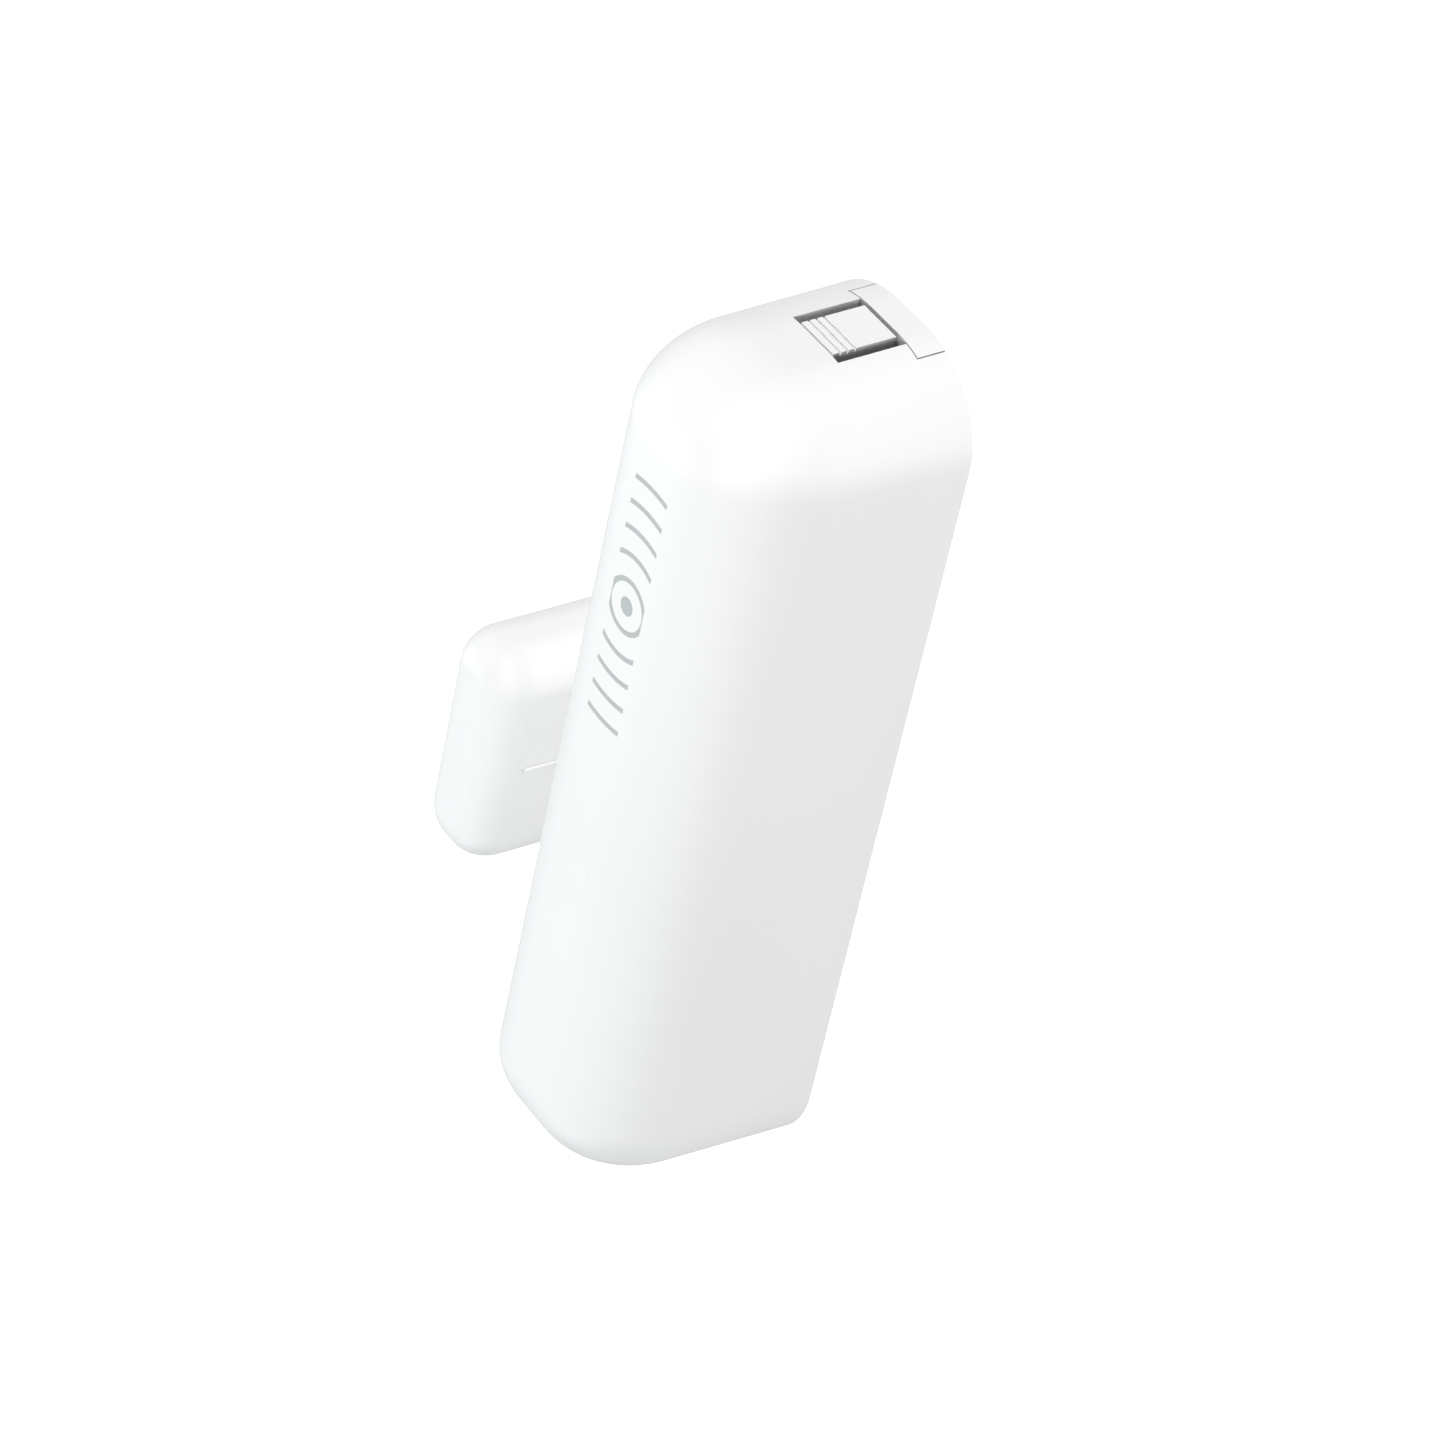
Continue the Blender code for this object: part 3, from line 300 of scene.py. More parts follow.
def moulded_plastic(name, color, roughness, grain, depth, mottling, painted_shade):
    """Spark-eroded grain, a faint flow mottle in the colour and an uneven sheen."""
    mat, tree, shader = new_material(name, color, roughness, IOR=1.46)
    place = object_place(tree)
    fine = noise(tree, place, grain, 2.0, 0.6)
    body = ramp(tree, noise(tree, place, 0.06, 2.0), shade(color, 1.0 - mottling), color)
    if name == "housing_white":
        body = mix_color(tree, printed_mark(tree, place), body, PRINT_COLOR)
    # painted shade where other faces stand close, darkening the colour through the AO node
    if painted_shade:
        body = paint_crease_shade(tree, body, *painted_shade)
    varied = map_range(tree, fine, roughness - 0.05, roughness + 0.05)
    feed(tree, shader, {"Base Color": body, "Roughness": varied})
    waves = bump(tree, shader, noise(tree, place, 0.25, 1.0), 0.01, 0.15)
    bump(tree, shader, fine, depth, 0.5, waves)
    return mat


def satin_metal(name, color, roughness, stretch, scratch):
    """Plated or drawn metal with streaks along one axis."""
    mat, tree, shader = new_material(name, color, roughness, 1.0)
    streaks = noise(tree, object_place(tree, stretch), scratch, 4.0, 0.6)
    feed(tree, shader, {"Base Color": ramp(tree, streaks, shade(color, 0.8), color, 0.25, 0.75),
                        "Roughness": map_range(tree, streaks, roughness - 0.08, roughness + 0.12)})
    bump(tree, shader, streaks, 0.01, 0.3)
    return mat


def foam(name, color, cell, depth):
    """Foam with open pores of two sizes and a dusty, uneven colour."""
    mat, tree, shader = new_material(name, color, 0.95)
    place = object_place(tree)
    pores = calc(tree, "MULTIPLY", cells(tree, place, cell), cells(tree, place, cell * 2.7))
    feed(tree, shader, {"Base Color": ramp(tree, pores, shade(color, 0.72), color, 0.02, 0.3),
                        "Roughness": map_range(tree, pores, 0.98, 0.85, 0.0, 0.4)})
    bump(tree, shader, map_range(tree, pores, 0.0, 1.0, 0.0, 0.35), depth)
    return mat


def clear_glass(name, color, roughness):
    """Clear drawn or cast glass with faint streaks."""
    mat, tree, shader = new_material(name, color, roughness, Transmission_Weight=1.0, IOR=1.5)
    streaks = noise(tree, object_place(tree, (1, 1, 0.25)), 1.2, 2.0)
    feed(tree, shader, {"Base Color": ramp(tree, streaks, shade(color, 0.94), color),
                        "Roughness": map_range(tree, streaks, roughness * 0.6, roughness * 1.6)})
    bump(tree, shader, streaks, 0.01, 0.2)
    return mat


def banded_sleeve(name, color, band_color, band, roughness):
    """Shrunk film over a cylinder: one printed band, faint wrinkles and a little gloss variation."""
    mat, tree, shader = new_material(name, color, roughness, Coat_Weight=0.3, Coat_Roughness=0.15)
    place = object_place(tree)
    wrinkles = noise(tree, place, 0.5, 3.0)
    film = ramp(tree, wrinkles, shade(color, 0.8), color)
    feed(tree, shader, {"Base Color": mix_color(tree, band(tree, axes(tree, place)), film, band_color),
                        "Roughness": map_range(tree, wrinkles, roughness - 0.08, roughness + 0.1)})
    bump(tree, shader, wrinkles, 0.03, 0.25)
    return mat


def cell_band(tree, xyz):
    """A ring round the cell's wrap, near its positive end."""
    middle, half = 9.5, 3.2
    return below(tree, calc(tree, "ABSOLUTE", calc(tree, "SUBTRACT", xyz[Z], middle)), half, 0.05)


def capacitor_band(tree, xyz):
    """The stripe down the capacitor's side that marks one pole."""
    return below(tree, xyz[X], CAPACITOR_X - 1.3, 0.04)


def board_mask():
    """Green solder mask over patches of parallel traces, with tinned vias and rings round the screw holes."""
    mat, tree, shader = new_material("solder_mask", (0.01, 0.12, 0.06), 0.35,
                                     Coat_Weight=0.4, Coat_Roughness=0.2)
    place = object_place(tree)
    x, _, z = axes(tree, place)
    flat = add_node(tree, "CombineXYZ", {0: x, 1: z}).outputs[0]
    patches = add_node(tree, "TexVoronoi", {"Scale": 1 / TRACE_PATCH, "Vector": flat}, distance="MANHATTAN")
    choice, bare, _ = axes(tree, patches.outputs["Color"])
    upright, level = (below(tree, calc(tree, "PINGPONG", value, TRACE_PITCH / 2), TRACE_WIDTH / 2, 0.03)
                      for value in (x, z))
    turned = calc(tree, "GREATER_THAN", choice, 0.5)
    lines = calc(tree, "ADD", calc(tree, "MULTIPLY", turned, level),
                 calc(tree, "MULTIPLY", calc(tree, "SUBTRACT", 1.0, turned), upright))
    traces = calc(tree, "MULTIPLY", lines, calc(tree, "GREATER_THAN", bare, 0.35))
    vias = below(tree, cells(tree, flat, 2.6), 0.11, 0.02)
    hole = distance(tree, calc(tree, "SUBTRACT", calc(tree, "ABSOLUTE", x), BOARD_SCREW_X),
                    calc(tree, "SUBTRACT", z, BOARD_SCREW_Z))
    tinned = calc(tree, "MAXIMUM", vias, below(tree, hole, 1.75, 0.04))
    mask = mix_color(tree, traces, MASK_DARK, MASK_TRACE)
    feed(tree, shader, {"Base Color": mix_color(tree, tinned, mask, TINNED), "Metallic": tinned,
                        "Roughness": map_range(tree, noise(tree, place, 1.5, 3.0), 0.28, 0.42)})
    bump(tree, shader, calc(tree, "MAXIMUM", traces, tinned), 0.035, 0.8)
    return mat


def make_looks():
    """Each material by its name, paired with the name of a record slot."""
    made = {}
    for name, slot, *values in MOULDED:
        made[name] = moulded_plastic(name, *values), slot
    for name, slot, *values in METALS:
        made[name] = satin_metal(name, *values), slot
    made["foam_tape"] = foam("foam_tape", (0.60, 0.60, 0.60), 0.12, 0.03), "foam_tape"
    made["open_cell_foam"] = foam("open_cell_foam", (0.045, 0.046, 0.05), 0.45, 0.2), "dark_foam"
    wrap = banded_sleeve("cell_wrap", (0.02, 0.13, 0.07), BAND_SILVER, cell_band, 0.32)
    made["cell_wrap"] = wrap, "cell_wrap"
    sleeve = banded_sleeve("capacitor_sleeve", (0.03, 0.04, 0.10), BAND_GREY, capacitor_band, 0.35)
    made["capacitor_sleeve"] = sleeve, "capacitor_sleeve"
    made["reed_glass"] = clear_glass("reed_glass", (0.80, 0.93, 0.86), 0.04), "reed_glass"
    made["led_lens"] = clear_glass("led_lens", (0.90, 0.93, 0.95), 0.18), "led_lens"
    made["solder_mask"] = board_mask(), None
    return made


LOOKS = make_looks()


# ---------------------------------------------------------------- mesh helpers
BEVEL_ANGLE, CRISP_ANGLE = 40, 50  # degrees: edges sharper than these are broken, or stay crisp after that


def metres(point):
    """A point in millimetres as a vector in the frame's metres."""
    return Vector([value * MM for value in point])


def link_piece(name, bm, mat=None):
    mesh = bpy.data.meshes.new(name)
    bmesh.ops.recalc_face_normals(bm, faces=bm.faces)
    bm.to_mesh(mesh)
    bm.free()
    if mat:
        mesh.materials.append(mat)
    obj = bpy.data.objects.new(name, mesh)
    bpy.context.scene.collection.objects.link(obj)
    return obj


def settle(obj):
    """Applies the modifiers, so the stored mesh is the final one."""
    bpy.context.view_layer.update()
    graph = bpy.context.evaluated_depsgraph_get()
    mesh = bpy.data.meshes.new_from_object(obj.evaluated_get(graph))
    obj.modifiers.clear()
    old = obj.data
    obj.data = mesh
    mesh.name = obj.name
    bpy.data.meshes.remove(old)


def combine(target, bm, operation):
    """One exact Boolean of the target with a mesh that is then discarded."""
    tool = link_piece("tool", bm)
    modifier = target.modifiers.new("Boolean", "BOOLEAN")
    modifier.operation = operation
    modifier.solver = "EXACT"
    modifier.object = tool
    settle(target)
    mesh = tool.data
    bpy.data.objects.remove(tool, do_unlink=True)
    bpy.data.meshes.remove(mesh)


def break_edges(obj, width, segments=2):
    """A fine bevel along the sharp edges."""
    bevel = obj.modifiers.new("Edges", "BEVEL")
    bevel.width = width * MM
    bevel.segments = segments
    bevel.limit_method = "ANGLE"
    bevel.angle_limit = math.radians(BEVEL_ANGLE)
    return bevel


def crisp(obj, angle):
    """Smooth shading that breaks at the real edges."""
    obj.data.shade_smooth()
    obj.data.set_sharp_from_angle(angle=math.radians(angle))


def keep_flats_flat(obj):
    flats = obj.modifiers.new("Flats", "WEIGHTED_NORMAL")
    flats.mode = "FACE_AREA"
    flats.weight = 100
    flats.keep_sharp = True
    settle(obj)


def add_piece(name, bm, look, *replaced, body="sensor_unit", steps=(), cuts=(), edge=None, segments=2,
              angle=30):
    """One visible piece: its Booleans, its edges, what it rides on and the CAD nodes it stands for.

    steps are (operation, mesh) pairs, cuts are meshes taken away, and edge is the width of the broken edges.
    """
    mat, slot = LOOKS[look]
    obj = link_piece(name, bm, mat)
    for operation, tool in (*steps, *(("DIFFERENCE", cut) for cut in cuts)):
        combine(obj, tool, operation)
    if edge is None:
        crisp(obj, angle)
    else:
        break_edges(obj, edge, segments)
        settle(obj)
        crisp(obj, CRISP_ANGLE)
        keep_flats_flat(obj)
    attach(obj, body)
    if replaced:
        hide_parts(*replaced)
    return obj


def ring_mesh(rings):
    """A solid through rings of equally many points, capped at both ends."""
    bm = bmesh.new()
    rows = [[bm.verts.new(metres(point)) for point in ring] for ring in rings]
    for row, after in zip(rows, rows[1:]):
        for i in range(len(row)):
            j = (i + 1) % len(row)
            bm.faces.new((row[i], row[j], after[j], after[i]))
    bm.faces.new(rows[0])
    bm.faces.new(rows[-1])
    return bm


def prism_mesh(outline, low, high, place):
    """A flat outline of (u, v) points run from low to high; place(u, v, w) gives the point in the frame."""
    return ring_mesh([[place(u, v, w) for u, v in outline] for w in (low, high)])


def side_place(u, v, w):
    """Depth and height of a side profile to a point at x = w."""
    return (w, at(u), v)


def plan_place(u, v, w):
    """x and z of a plan outline to a point at depth w."""
    return (u, at(w), v)


def box_mesh(low, high):
    low, high = metres(low), metres(high)
    bm = bmesh.new()
    bmesh.ops.create_cube(bm, size=1.0, matrix=Matrix.Translation((low + high) / 2)
                          @ Matrix.Diagonal((*(high - low), 1.0)))
    return bm


def block(xs, depths, heights):
    """A box between two x, two depths and two heights."""
    return box_mesh((xs[0], at(depths[1]), heights[0]), (xs[1], at(depths[0]), heights[1]))


def about(middle, half):
    return middle - half, middle + half


def rod_mesh(start, end, radius, segments=48, end_radius=None):
    start, end = metres(start), metres(end)
    along = end - start
    bm = bmesh.new()
    turn = along.to_track_quat("Z", "Y").to_matrix().to_4x4()
    bmesh.ops.create_cone(bm, cap_ends=True, segments=segments, radius1=radius * MM,
                          radius2=(radius if end_radius is None else end_radius) * MM, depth=along.length,
                          matrix=Matrix.Translation((start + end) / 2) @ turn)
    return bm


def peg(x, z, first, last, radius, segments=48, end_radius=None):
    """A round rod from one depth to another."""
    return rod_mesh((x, at(first), z), (x, at(last), z), radius, segments, end_radius)


def pin_rod(low, high, radius):
    """A rod on the latch's pivot from low to high x."""
    return rod_mesh((low, at(PIN_DEPTH), PIN_HEIGHT), (high, at(PIN_DEPTH), PIN_HEIGHT), radius)


def merged(parts):
    """Several meshes in one."""
    whole = bmesh.new()
    for part in parts:
        mesh = bpy.data.meshes.new("part")
        part.to_mesh(mesh)
        part.free()
        whole.from_mesh(mesh)
        bpy.data.meshes.remove(mesh)
    return whole


def rounded_rectangle(half_u, half_v, radius, steps=12, centre=(0.0, 0.0), radius_v=None):
    """The (u, v) points of an outline; radius_v gives its corners another size along v."""
    radius_v = radius if radius_v is None else radius_v
    points = []
    for sign_u, sign_v, first in ((1, 1, 0), (-1, 1, 90), (-1, -1, 180), (1, -1, 270)):
        for i in range(steps + 1):
            angle = math.radians(first + 90 * i / steps)
            points.append((centre[0] + sign_u * (half_u - radius) + radius * math.cos(angle),
                           centre[1] + sign_v * (half_v - radius_v) + radius_v * math.sin(angle)))
    return points


def lathe_mesh(profile, base, axis, segments=48, closed_loop=False):
    """Turns (radius, height) pairs about an axis from base; a radius of 0 makes a point on the axis."""
    turn = Matrix.Translation(metres(base)) @ Vector(axis).to_track_quat("Z", "Y").to_matrix().to_4x4()
    bm = bmesh.new()
    rows = []
    for radius, height in profile:
        angles = [2 * math.pi * i / segments for i in range(segments if radius > 0 else 1)]
        rows.append([bm.verts.new(turn @ metres((radius * math.cos(a), radius * math.sin(a), height)))
                     for a in angles])
    following = rows[1:] + rows[:1] if closed_loop else rows[1:]
    for row, after in zip(rows, following):
        for i in range(segments):
            j = i + 1
            corners = (row[i % len(row)], row[j % len(row)], after[j % len(after)], after[i % len(after)])
            bm.faces.new(list(dict.fromkeys(corners)))
    return bm


def round_corner(radius, height, size, first, last, steps=6):
    """Points of a rounded corner of a lathe profile, centred on (radius, height), in degrees."""
    angles = [math.radians(first + (last - first) * i / steps) for i in range(steps + 1)]
    return [(radius + size * math.cos(a), height + size * math.sin(a)) for a in angles]


def tube_mesh(points, radius, sides=14, sections=None):
    """A wire along points with slightly domed ends; sections gives half sizes (across, through) per point."""
    points = [Vector(point) for point in points]
    rows = []
    across = None
    for i, point in enumerate(points):
        ahead = (points[min(i + 1, len(points) - 1)] - points[max(i - 1, 0)]).normalized()
        if across is None:
            across = ahead.orthogonal() if abs(ahead.x) > 0.9 else ahead.cross(Vector((0, 1, 0)))
            if across.length == 0:
                across = Vector((1, 0, 0))
        across = (across - ahead * across.dot(ahead)).normalized()
        half_sizes = sections[i] if sections else (radius, radius)
        rows.append((point, ahead, across, ahead.cross(across), *half_sizes))

    def circle(row, scale, shift):
        point, ahead, across, through, wide, thin = row
        angles = [2 * math.pi * k / sides for k in range(sides)]
        return [point + ahead * shift
                + across * wide * scale * math.cos(a) + through * thin * scale * math.sin(a)
                for a in angles]

    first, last = rows[0], rows[-1]
    dome = min(first[4:]) * 0.4
    length = [circle(row, 1.0, 0.0) for row in rows]
    return ring_mesh([circle(first, 0.7, -dome)] + length + [circle(last, 0.7, dome)])


def rounded_path(points, radius, steps=6):
    """The same path with its inner corners rounded off."""
    points = [Vector(point) for point in points]
    path = [points[0]]
    for before, corner, after in zip(points, points[1:], points[2:]):
        start, end = (corner + (side - corner).normalized() * min(radius, (side - corner).length * 0.45)
                      for side in (before, after))
        path += [start.lerp(corner, t).lerp(corner.lerp(end, t), t)
                 for t in (i / steps for i in range(steps + 1))]
    return path + [points[-1]]


# ---------------------------------------------------------------- the lofted housing form
class Form:
    """A housing's outer form: rounded rings, drafted sides and an elliptical front fillet."""

    def __init__(self, half_x, half_z, depth, corner_x, corner_z, inset, fillet, draft, centre=(0.0, 0.0)):
        self.half_x, self.half_z, self.depth = half_x, half_z, depth
        self.corner_x, self.corner_z = corner_x, corner_z
        self.inset, self.fillet, self.draft = inset, fillet, draft
        self.centre = centre

    def side_depth(self):
        return self.depth - self.fillet

    def side_inset(self, depth):
        return self.draft * depth / self.side_depth()

    def front_rings(self, steps):
        """(depth, inset) of each ring round the front fillet, after the side's last one."""
        angles = [math.pi / 2 * (i + 1) / steps for i in range(steps)]
        return [(self.depth - self.fillet * (1 - math.sin(a)), self.draft + self.inset * (1 - math.cos(a)))
                for a in angles]

    def end_z(self, x, depth):
        """Height of the end face over a point, for x within the corner arcs."""
        inset = self.side_inset(depth)
        straight = self.half_x - self.corner_x
        reach = self.corner_z - inset
        if abs(x) <= straight:
            return self.half_z - inset
        sine = (abs(x) - straight) / (self.corner_x - inset)
        return self.half_z - inset - reach * (1 - math.sqrt(1 - sine * sine))

    def ring(self, depth, inset, steps):
        """The closed ring at a depth, moved in by the inset."""
        radius_x, radius_z = (max(corner - inset, FLAT_CORNER) for corner in (self.corner_x, self.corner_z))
        outline = rounded_rectangle(self.half_x - inset, self.half_z - inset, radius_x, steps, self.centre,
                                    radius_z)
        return [plan_place(u, v, depth) for u, v in outline]

    def loft(self, start, steps, fillet_steps, side_steps=6):
        """The closed solid from the depth start to the front."""
        sides = [self.side_depth() * i / side_steps for i in range(1, side_steps + 1)]
        levels = [(start, 0.0)] + [(depth, self.side_inset(depth)) for depth in sides]
        levels += self.front_rings(fillet_steps)
        return ring_mesh([self.ring(depth, inset, steps) for depth, inset in levels])


HOUSING = Form(HALF_WIDTH, HALF_LENGTH, DEPTH, CORNER_X, CORNER_Z, FILLET_INSET, FILLET_DEPTH, DRAFT)


# ---------------------------------------------------------------- the housings, the plate and the latch
def make_housing_shell():
    """Lofted shell with the notch for the tab, the latch window and the slot for the hook cut square."""
    hollow = Form(HALF_WIDTH - WALL, HALF_LENGTH - WALL, DEPTH - FRONT_WALL, CORNER_X - WALL, CORNER_Z - WALL,
                  FILLET_INSET - WALL / 2, FILLET_DEPTH - FRONT_WALL / 2, DRAFT)
    past_end = HALF_LENGTH + OVER
    window = block(about(0, WINDOW_HALF_WIDTH), (TAB_DEPTH - SEAM, WINDOW_FRONT), (34.0, past_end))
    notch = block(about(0, TAB_HALF_WIDTH + SEAM), (-OVER, TAB_DEPTH + SEAM), (33.0, past_end))
    slot = block(about(0, HOOK_SLOT_HALF_WIDTH), (HOOK_SLOT_BACK, HOOK_SLOT_FRONT),
                 (-past_end, WALL + 0.5 - HALF_LENGTH))
    add_piece("housing_shell", HOUSING.loft(0.0, 30, 34), "housing_white", "front_housing",
              cuts=(hollow.loft(-OVER, 18, 18), window, notch, slot))


def make_alignment_rib():
    """A fine raised line on the side that faces the magnet unit, level with the line on the magnet."""
    inner, outer = 0.8 - HALF_WIDTH, -HALF_WIDTH - MARK_PROUD
    low, high = about(MAGNET_CENTRE_Z, MARK_HALF)
    first, last, count = 0.6, 10.6, 10
    rings = []
    for depth in (first + (last - first) * i / count for i in range(count + 1)):
        face = outer + HOUSING.side_inset(depth)
        rings.append([(u, at(depth), v) for u, v in ((inner, low), (face, low), (face, high), (inner, high))])
    add_piece("housing_mark", ring_mesh(rings), "shell_white", edge=0.1, segments=3)


def make_pin_lugs():
    """The two bearings that hold the latch's pin under the end wall."""
    radius, top = 1.1, 36.3
    arc = [(PIN_DEPTH + radius * math.cos(a), PIN_HEIGHT + radius * math.sin(a))
           for a in (math.pi + math.pi * i / 24 for i in range(25))]
    outline = arc + [(PIN_DEPTH + radius, top), (PIN_DEPTH - radius, top)]
    for side, sign in (("left", -1), ("right", 1)):
        low, high = sorted((sign * (WINDOW_HALF_WIDTH + 0.2), sign * 4.6))
        add_piece("pin_lug_" + side, prism_mesh(outline, low, high, side_place), "shell_white",
                  cuts=(pin_rod(low - OVER, high + OVER, PIN_BORE),), edge=0.08)


def make_magnet_shell():
    low, high = MAGNET_LOW, MAGNET_HIGH
    wall = 1.1
    half_x = (high[X] - low[X] - MARK_PROUD) / 2
    half_z = (high[Z] - low[Z]) / 2
    centre = (low[X] + half_x, MAGNET_CENTRE_Z)
    depth, corner, inset, fillet, draft = BACK - low[Y], 3.55, 3.1, 3.45, 0.05
    form = Form(half_x, half_z, depth, corner, corner, inset, fillet, draft, centre)
    hollow = Form(half_x - wall, half_z - wall, depth - wall, corner - wall, corner - wall, inset - wall,
                  fillet - wall, draft, centre)
    add_piece("magnet_shell", form.loft(0.0, 20, 24), "shell_white", "magnet_cover", body="magnet_unit",
              cuts=(hollow.loft(-OVER, 12, 12),))
    side_x = centre[0] + half_x
    mark = block((side_x - 0.4, side_x + MARK_PROUD), (0.6, form.side_depth()),
                 about(MAGNET_CENTRE_Z, MARK_HALF))
    add_piece("magnet_mark", mark, "shell_white", body="magnet_unit", edge=0.1, segments=3)


def end_block(half_width, depth_low, depth_high, bottom, across=28, along=4):
    """A block whose top follows the housing's end face, so that the two lie flush."""
    bm = bmesh.new()
    xs = [-half_width + 2 * half_width * i / across for i in range(across + 1)]
    depths = [depth_low + (depth_high - depth_low) * j / along for j in range(along + 1)]
    top = [[bm.verts.new(metres((x, at(d), HOUSING.end_z(x, d)))) for x in xs] for d in depths]
    for row, following in zip(top, top[1:]):
        for i in range(across):
            bm.faces.new((row[i], row[i + 1], following[i + 1], following[i]))
    base = bmesh.ops.extrude_face_region(bm, geom=bm.faces[:])
    for vert in (v for v in base["geom"] if isinstance(v, bmesh.types.BMVert)):
        vert.co.z = bottom * MM
    return bm


def make_back_plate():
    """Plate with a flush end tab, a catch opening behind its lip, a hook, two ribs and two screw holes."""
    side, thickness = WALL + 0.3, 1.5
    top = HALF_LENGTH - side
    bottom = 1.0 - top
    outline = rounded_rectangle(HALF_WIDTH - side, (top - bottom) / 2, CORNER_Z - side, 16,
                                (0, (top + bottom) / 2))
    lip_bottom, underside, catch_bottom = 35.7, 36.2, 33.3
    catch = about(0, CATCH_HALF_WIDTH)
    steps = [("UNION", end_block(TAB_HALF_WIDTH, 0.0, TAB_DEPTH, 35.0)),
             ("DIFFERENCE", block(catch, (-OVER, TAB_DEPTH - 0.7), (catch_bottom, underside))),
             ("DIFFERENCE", block(catch, (-OVER, TAB_DEPTH + OVER), (catch_bottom, lip_bottom))),
             ("UNION", block((-2.5, 2.5), (1.45, 2.2), (-37.1, bottom + 1.6)))]
    steps += [("UNION", block(about(x, 0.4), (1.2, 2.0), (-25.0, 25.0))) for x in (-6.6, 6.6)]
    for z in (-29.5, 29.5):
        steps.append(("DIFFERENCE", peg(0, z, -OVER, thickness + OVER, 1.6)))
        steps.append(("DIFFERENCE", peg(0, z, 0.7, 2.1, 1.55, 48, 3.0)))
    add_piece("wall_plate_body", prism_mesh(outline, 0.0, thickness, plan_place), "plate_white", "back_plate",
              body="wall_plate", steps=steps, edge=0.03)


def make_latch():
    """Lever flush with the end face, with grip grooves, a hook leg and two bosses on the pivot pin."""
    half = box_of("release_latch")[1][X]
    under = HALF_LENGTH - 1.2
    outline = [(LATCH_BACK, under), (LATCH_BACK, HOUSING.end_z(0, LATCH_BACK))]
    for i in reversed(range(GRIP_GROOVES)):
        middle = LATCH_FRONT - GRIP_PITCH * (i + 1)
        top = HOUSING.end_z(0, middle)
        outline += [(middle - GRIP_HALF_WIDTH, top), (middle - GRIP_FLOOR_HALF, top - GRIP_DEPTH),
                    (middle + GRIP_FLOOR_HALF, top - GRIP_DEPTH), (middle + GRIP_HALF_WIDTH, top)]
    outline += [(LATCH_FRONT, HOUSING.end_z(0, LATCH_FRONT)), (LATCH_FRONT, under)]
    tooth_front, tooth_back = TAB_DEPTH - 1.0, TAB_DEPTH - 1.8
    tooth_top, foot_top, foot_bottom = 35.65, 35.2, 34.5
    leg_front, leg_back, leg_top = LATCH_BACK + 0.9, LATCH_BACK + 0.02, under + 0.3
    leg = [(leg_front, leg_top), (leg_front, foot_bottom), (tooth_back, foot_bottom),
           (tooth_back, tooth_top - 0.25), (tooth_front - 0.3, tooth_top), (tooth_front, tooth_top),
           (tooth_front, foot_top), (leg_back, foot_top), (leg_back, leg_top)]
    inner = half - 0.2
    steps = [("UNION", prism_mesh(leg, -inner, inner, side_place))]
    for xs in ((-inner, -0.9), (0.9, inner)):
        steps.append(("UNION", pin_rod(*xs, 1.0)))
        steps.append(("UNION", block(xs, (PIN_DEPTH - 0.9, PIN_DEPTH + 0.35), (PIN_HEIGHT, leg_top))))
    add_piece("latch_lever", prism_mesh(outline, -half, half, side_place), "latch_white", "release_latch",
              body="release_latch", steps=steps, cuts=(pin_rod(-half - OVER, half + OVER, PIN_BORE),),
              edge=0.025)


# ---------------------------------------------------------------- foam
def cushion_mesh(half_u, half_v, radius, centre, back, front, bulge, levels=10, rounding=0.12):
    """A foam block: edges rounded over, sides swollen a little where the skins don't hold them."""
    rings = []
    for share in (level / levels for level in range(levels + 1)):
        edge = min(share, 1 - share) * (front - back)
        tuck = rounding * (1 - min(edge / rounding, 1.0)) ** 2 + bulge * (1 - math.sin(math.pi * share))
        outline = rounded_rectangle(half_u - tuck, half_v - tuck, max(radius - tuck, 0.1), 10, centre)
        rings.append([(u, at(back + (front - back) * share), v) for u, v in outline])
    return ring_mesh(rings)


def make_foam():
    pieces = (  # name, node, look, body, bulge, corner radius
        ("wall_foam_tape", "adhesive_pad", "foam_tape", "wall_plate", 0.05, 1.5),
        ("magnet_foam_tape", "magnet_adhesive_pad", "foam_tape", "magnet_unit", 0.05, 0.8),
        ("magnet_foam_cushion", "magnet_foam_block", "open_cell_foam", "magnet_unit", 0.16, 0.5),
    )
    for name, node, look, body, bulge, radius in pieces:
        low, high = box_of(node)
        half_u, half_v = ((high[axis] - low[axis]) / 2 for axis in (X, Z))
        centre = [(low[axis] + high[axis]) / 2 for axis in (X, Z)]
        bm = cushion_mesh(half_u, half_v, radius, centre, BACK - high[Y], BACK - low[Y], bulge)
        add_piece(name, bm, look, node, body=body, angle=60)


# ---------------------------------------------------------------- battery and contacts
def sleeve_radius(height):
    """Outer radius of the wrap, which follows the crimp groove near the positive end."""
    dip = max(0.0, 1 - abs(height - GROOVE_HEIGHT) / GROOVE_HALF)
    return 7.2 - 0.26 * math.sin(math.pi / 2 * dip) ** 2


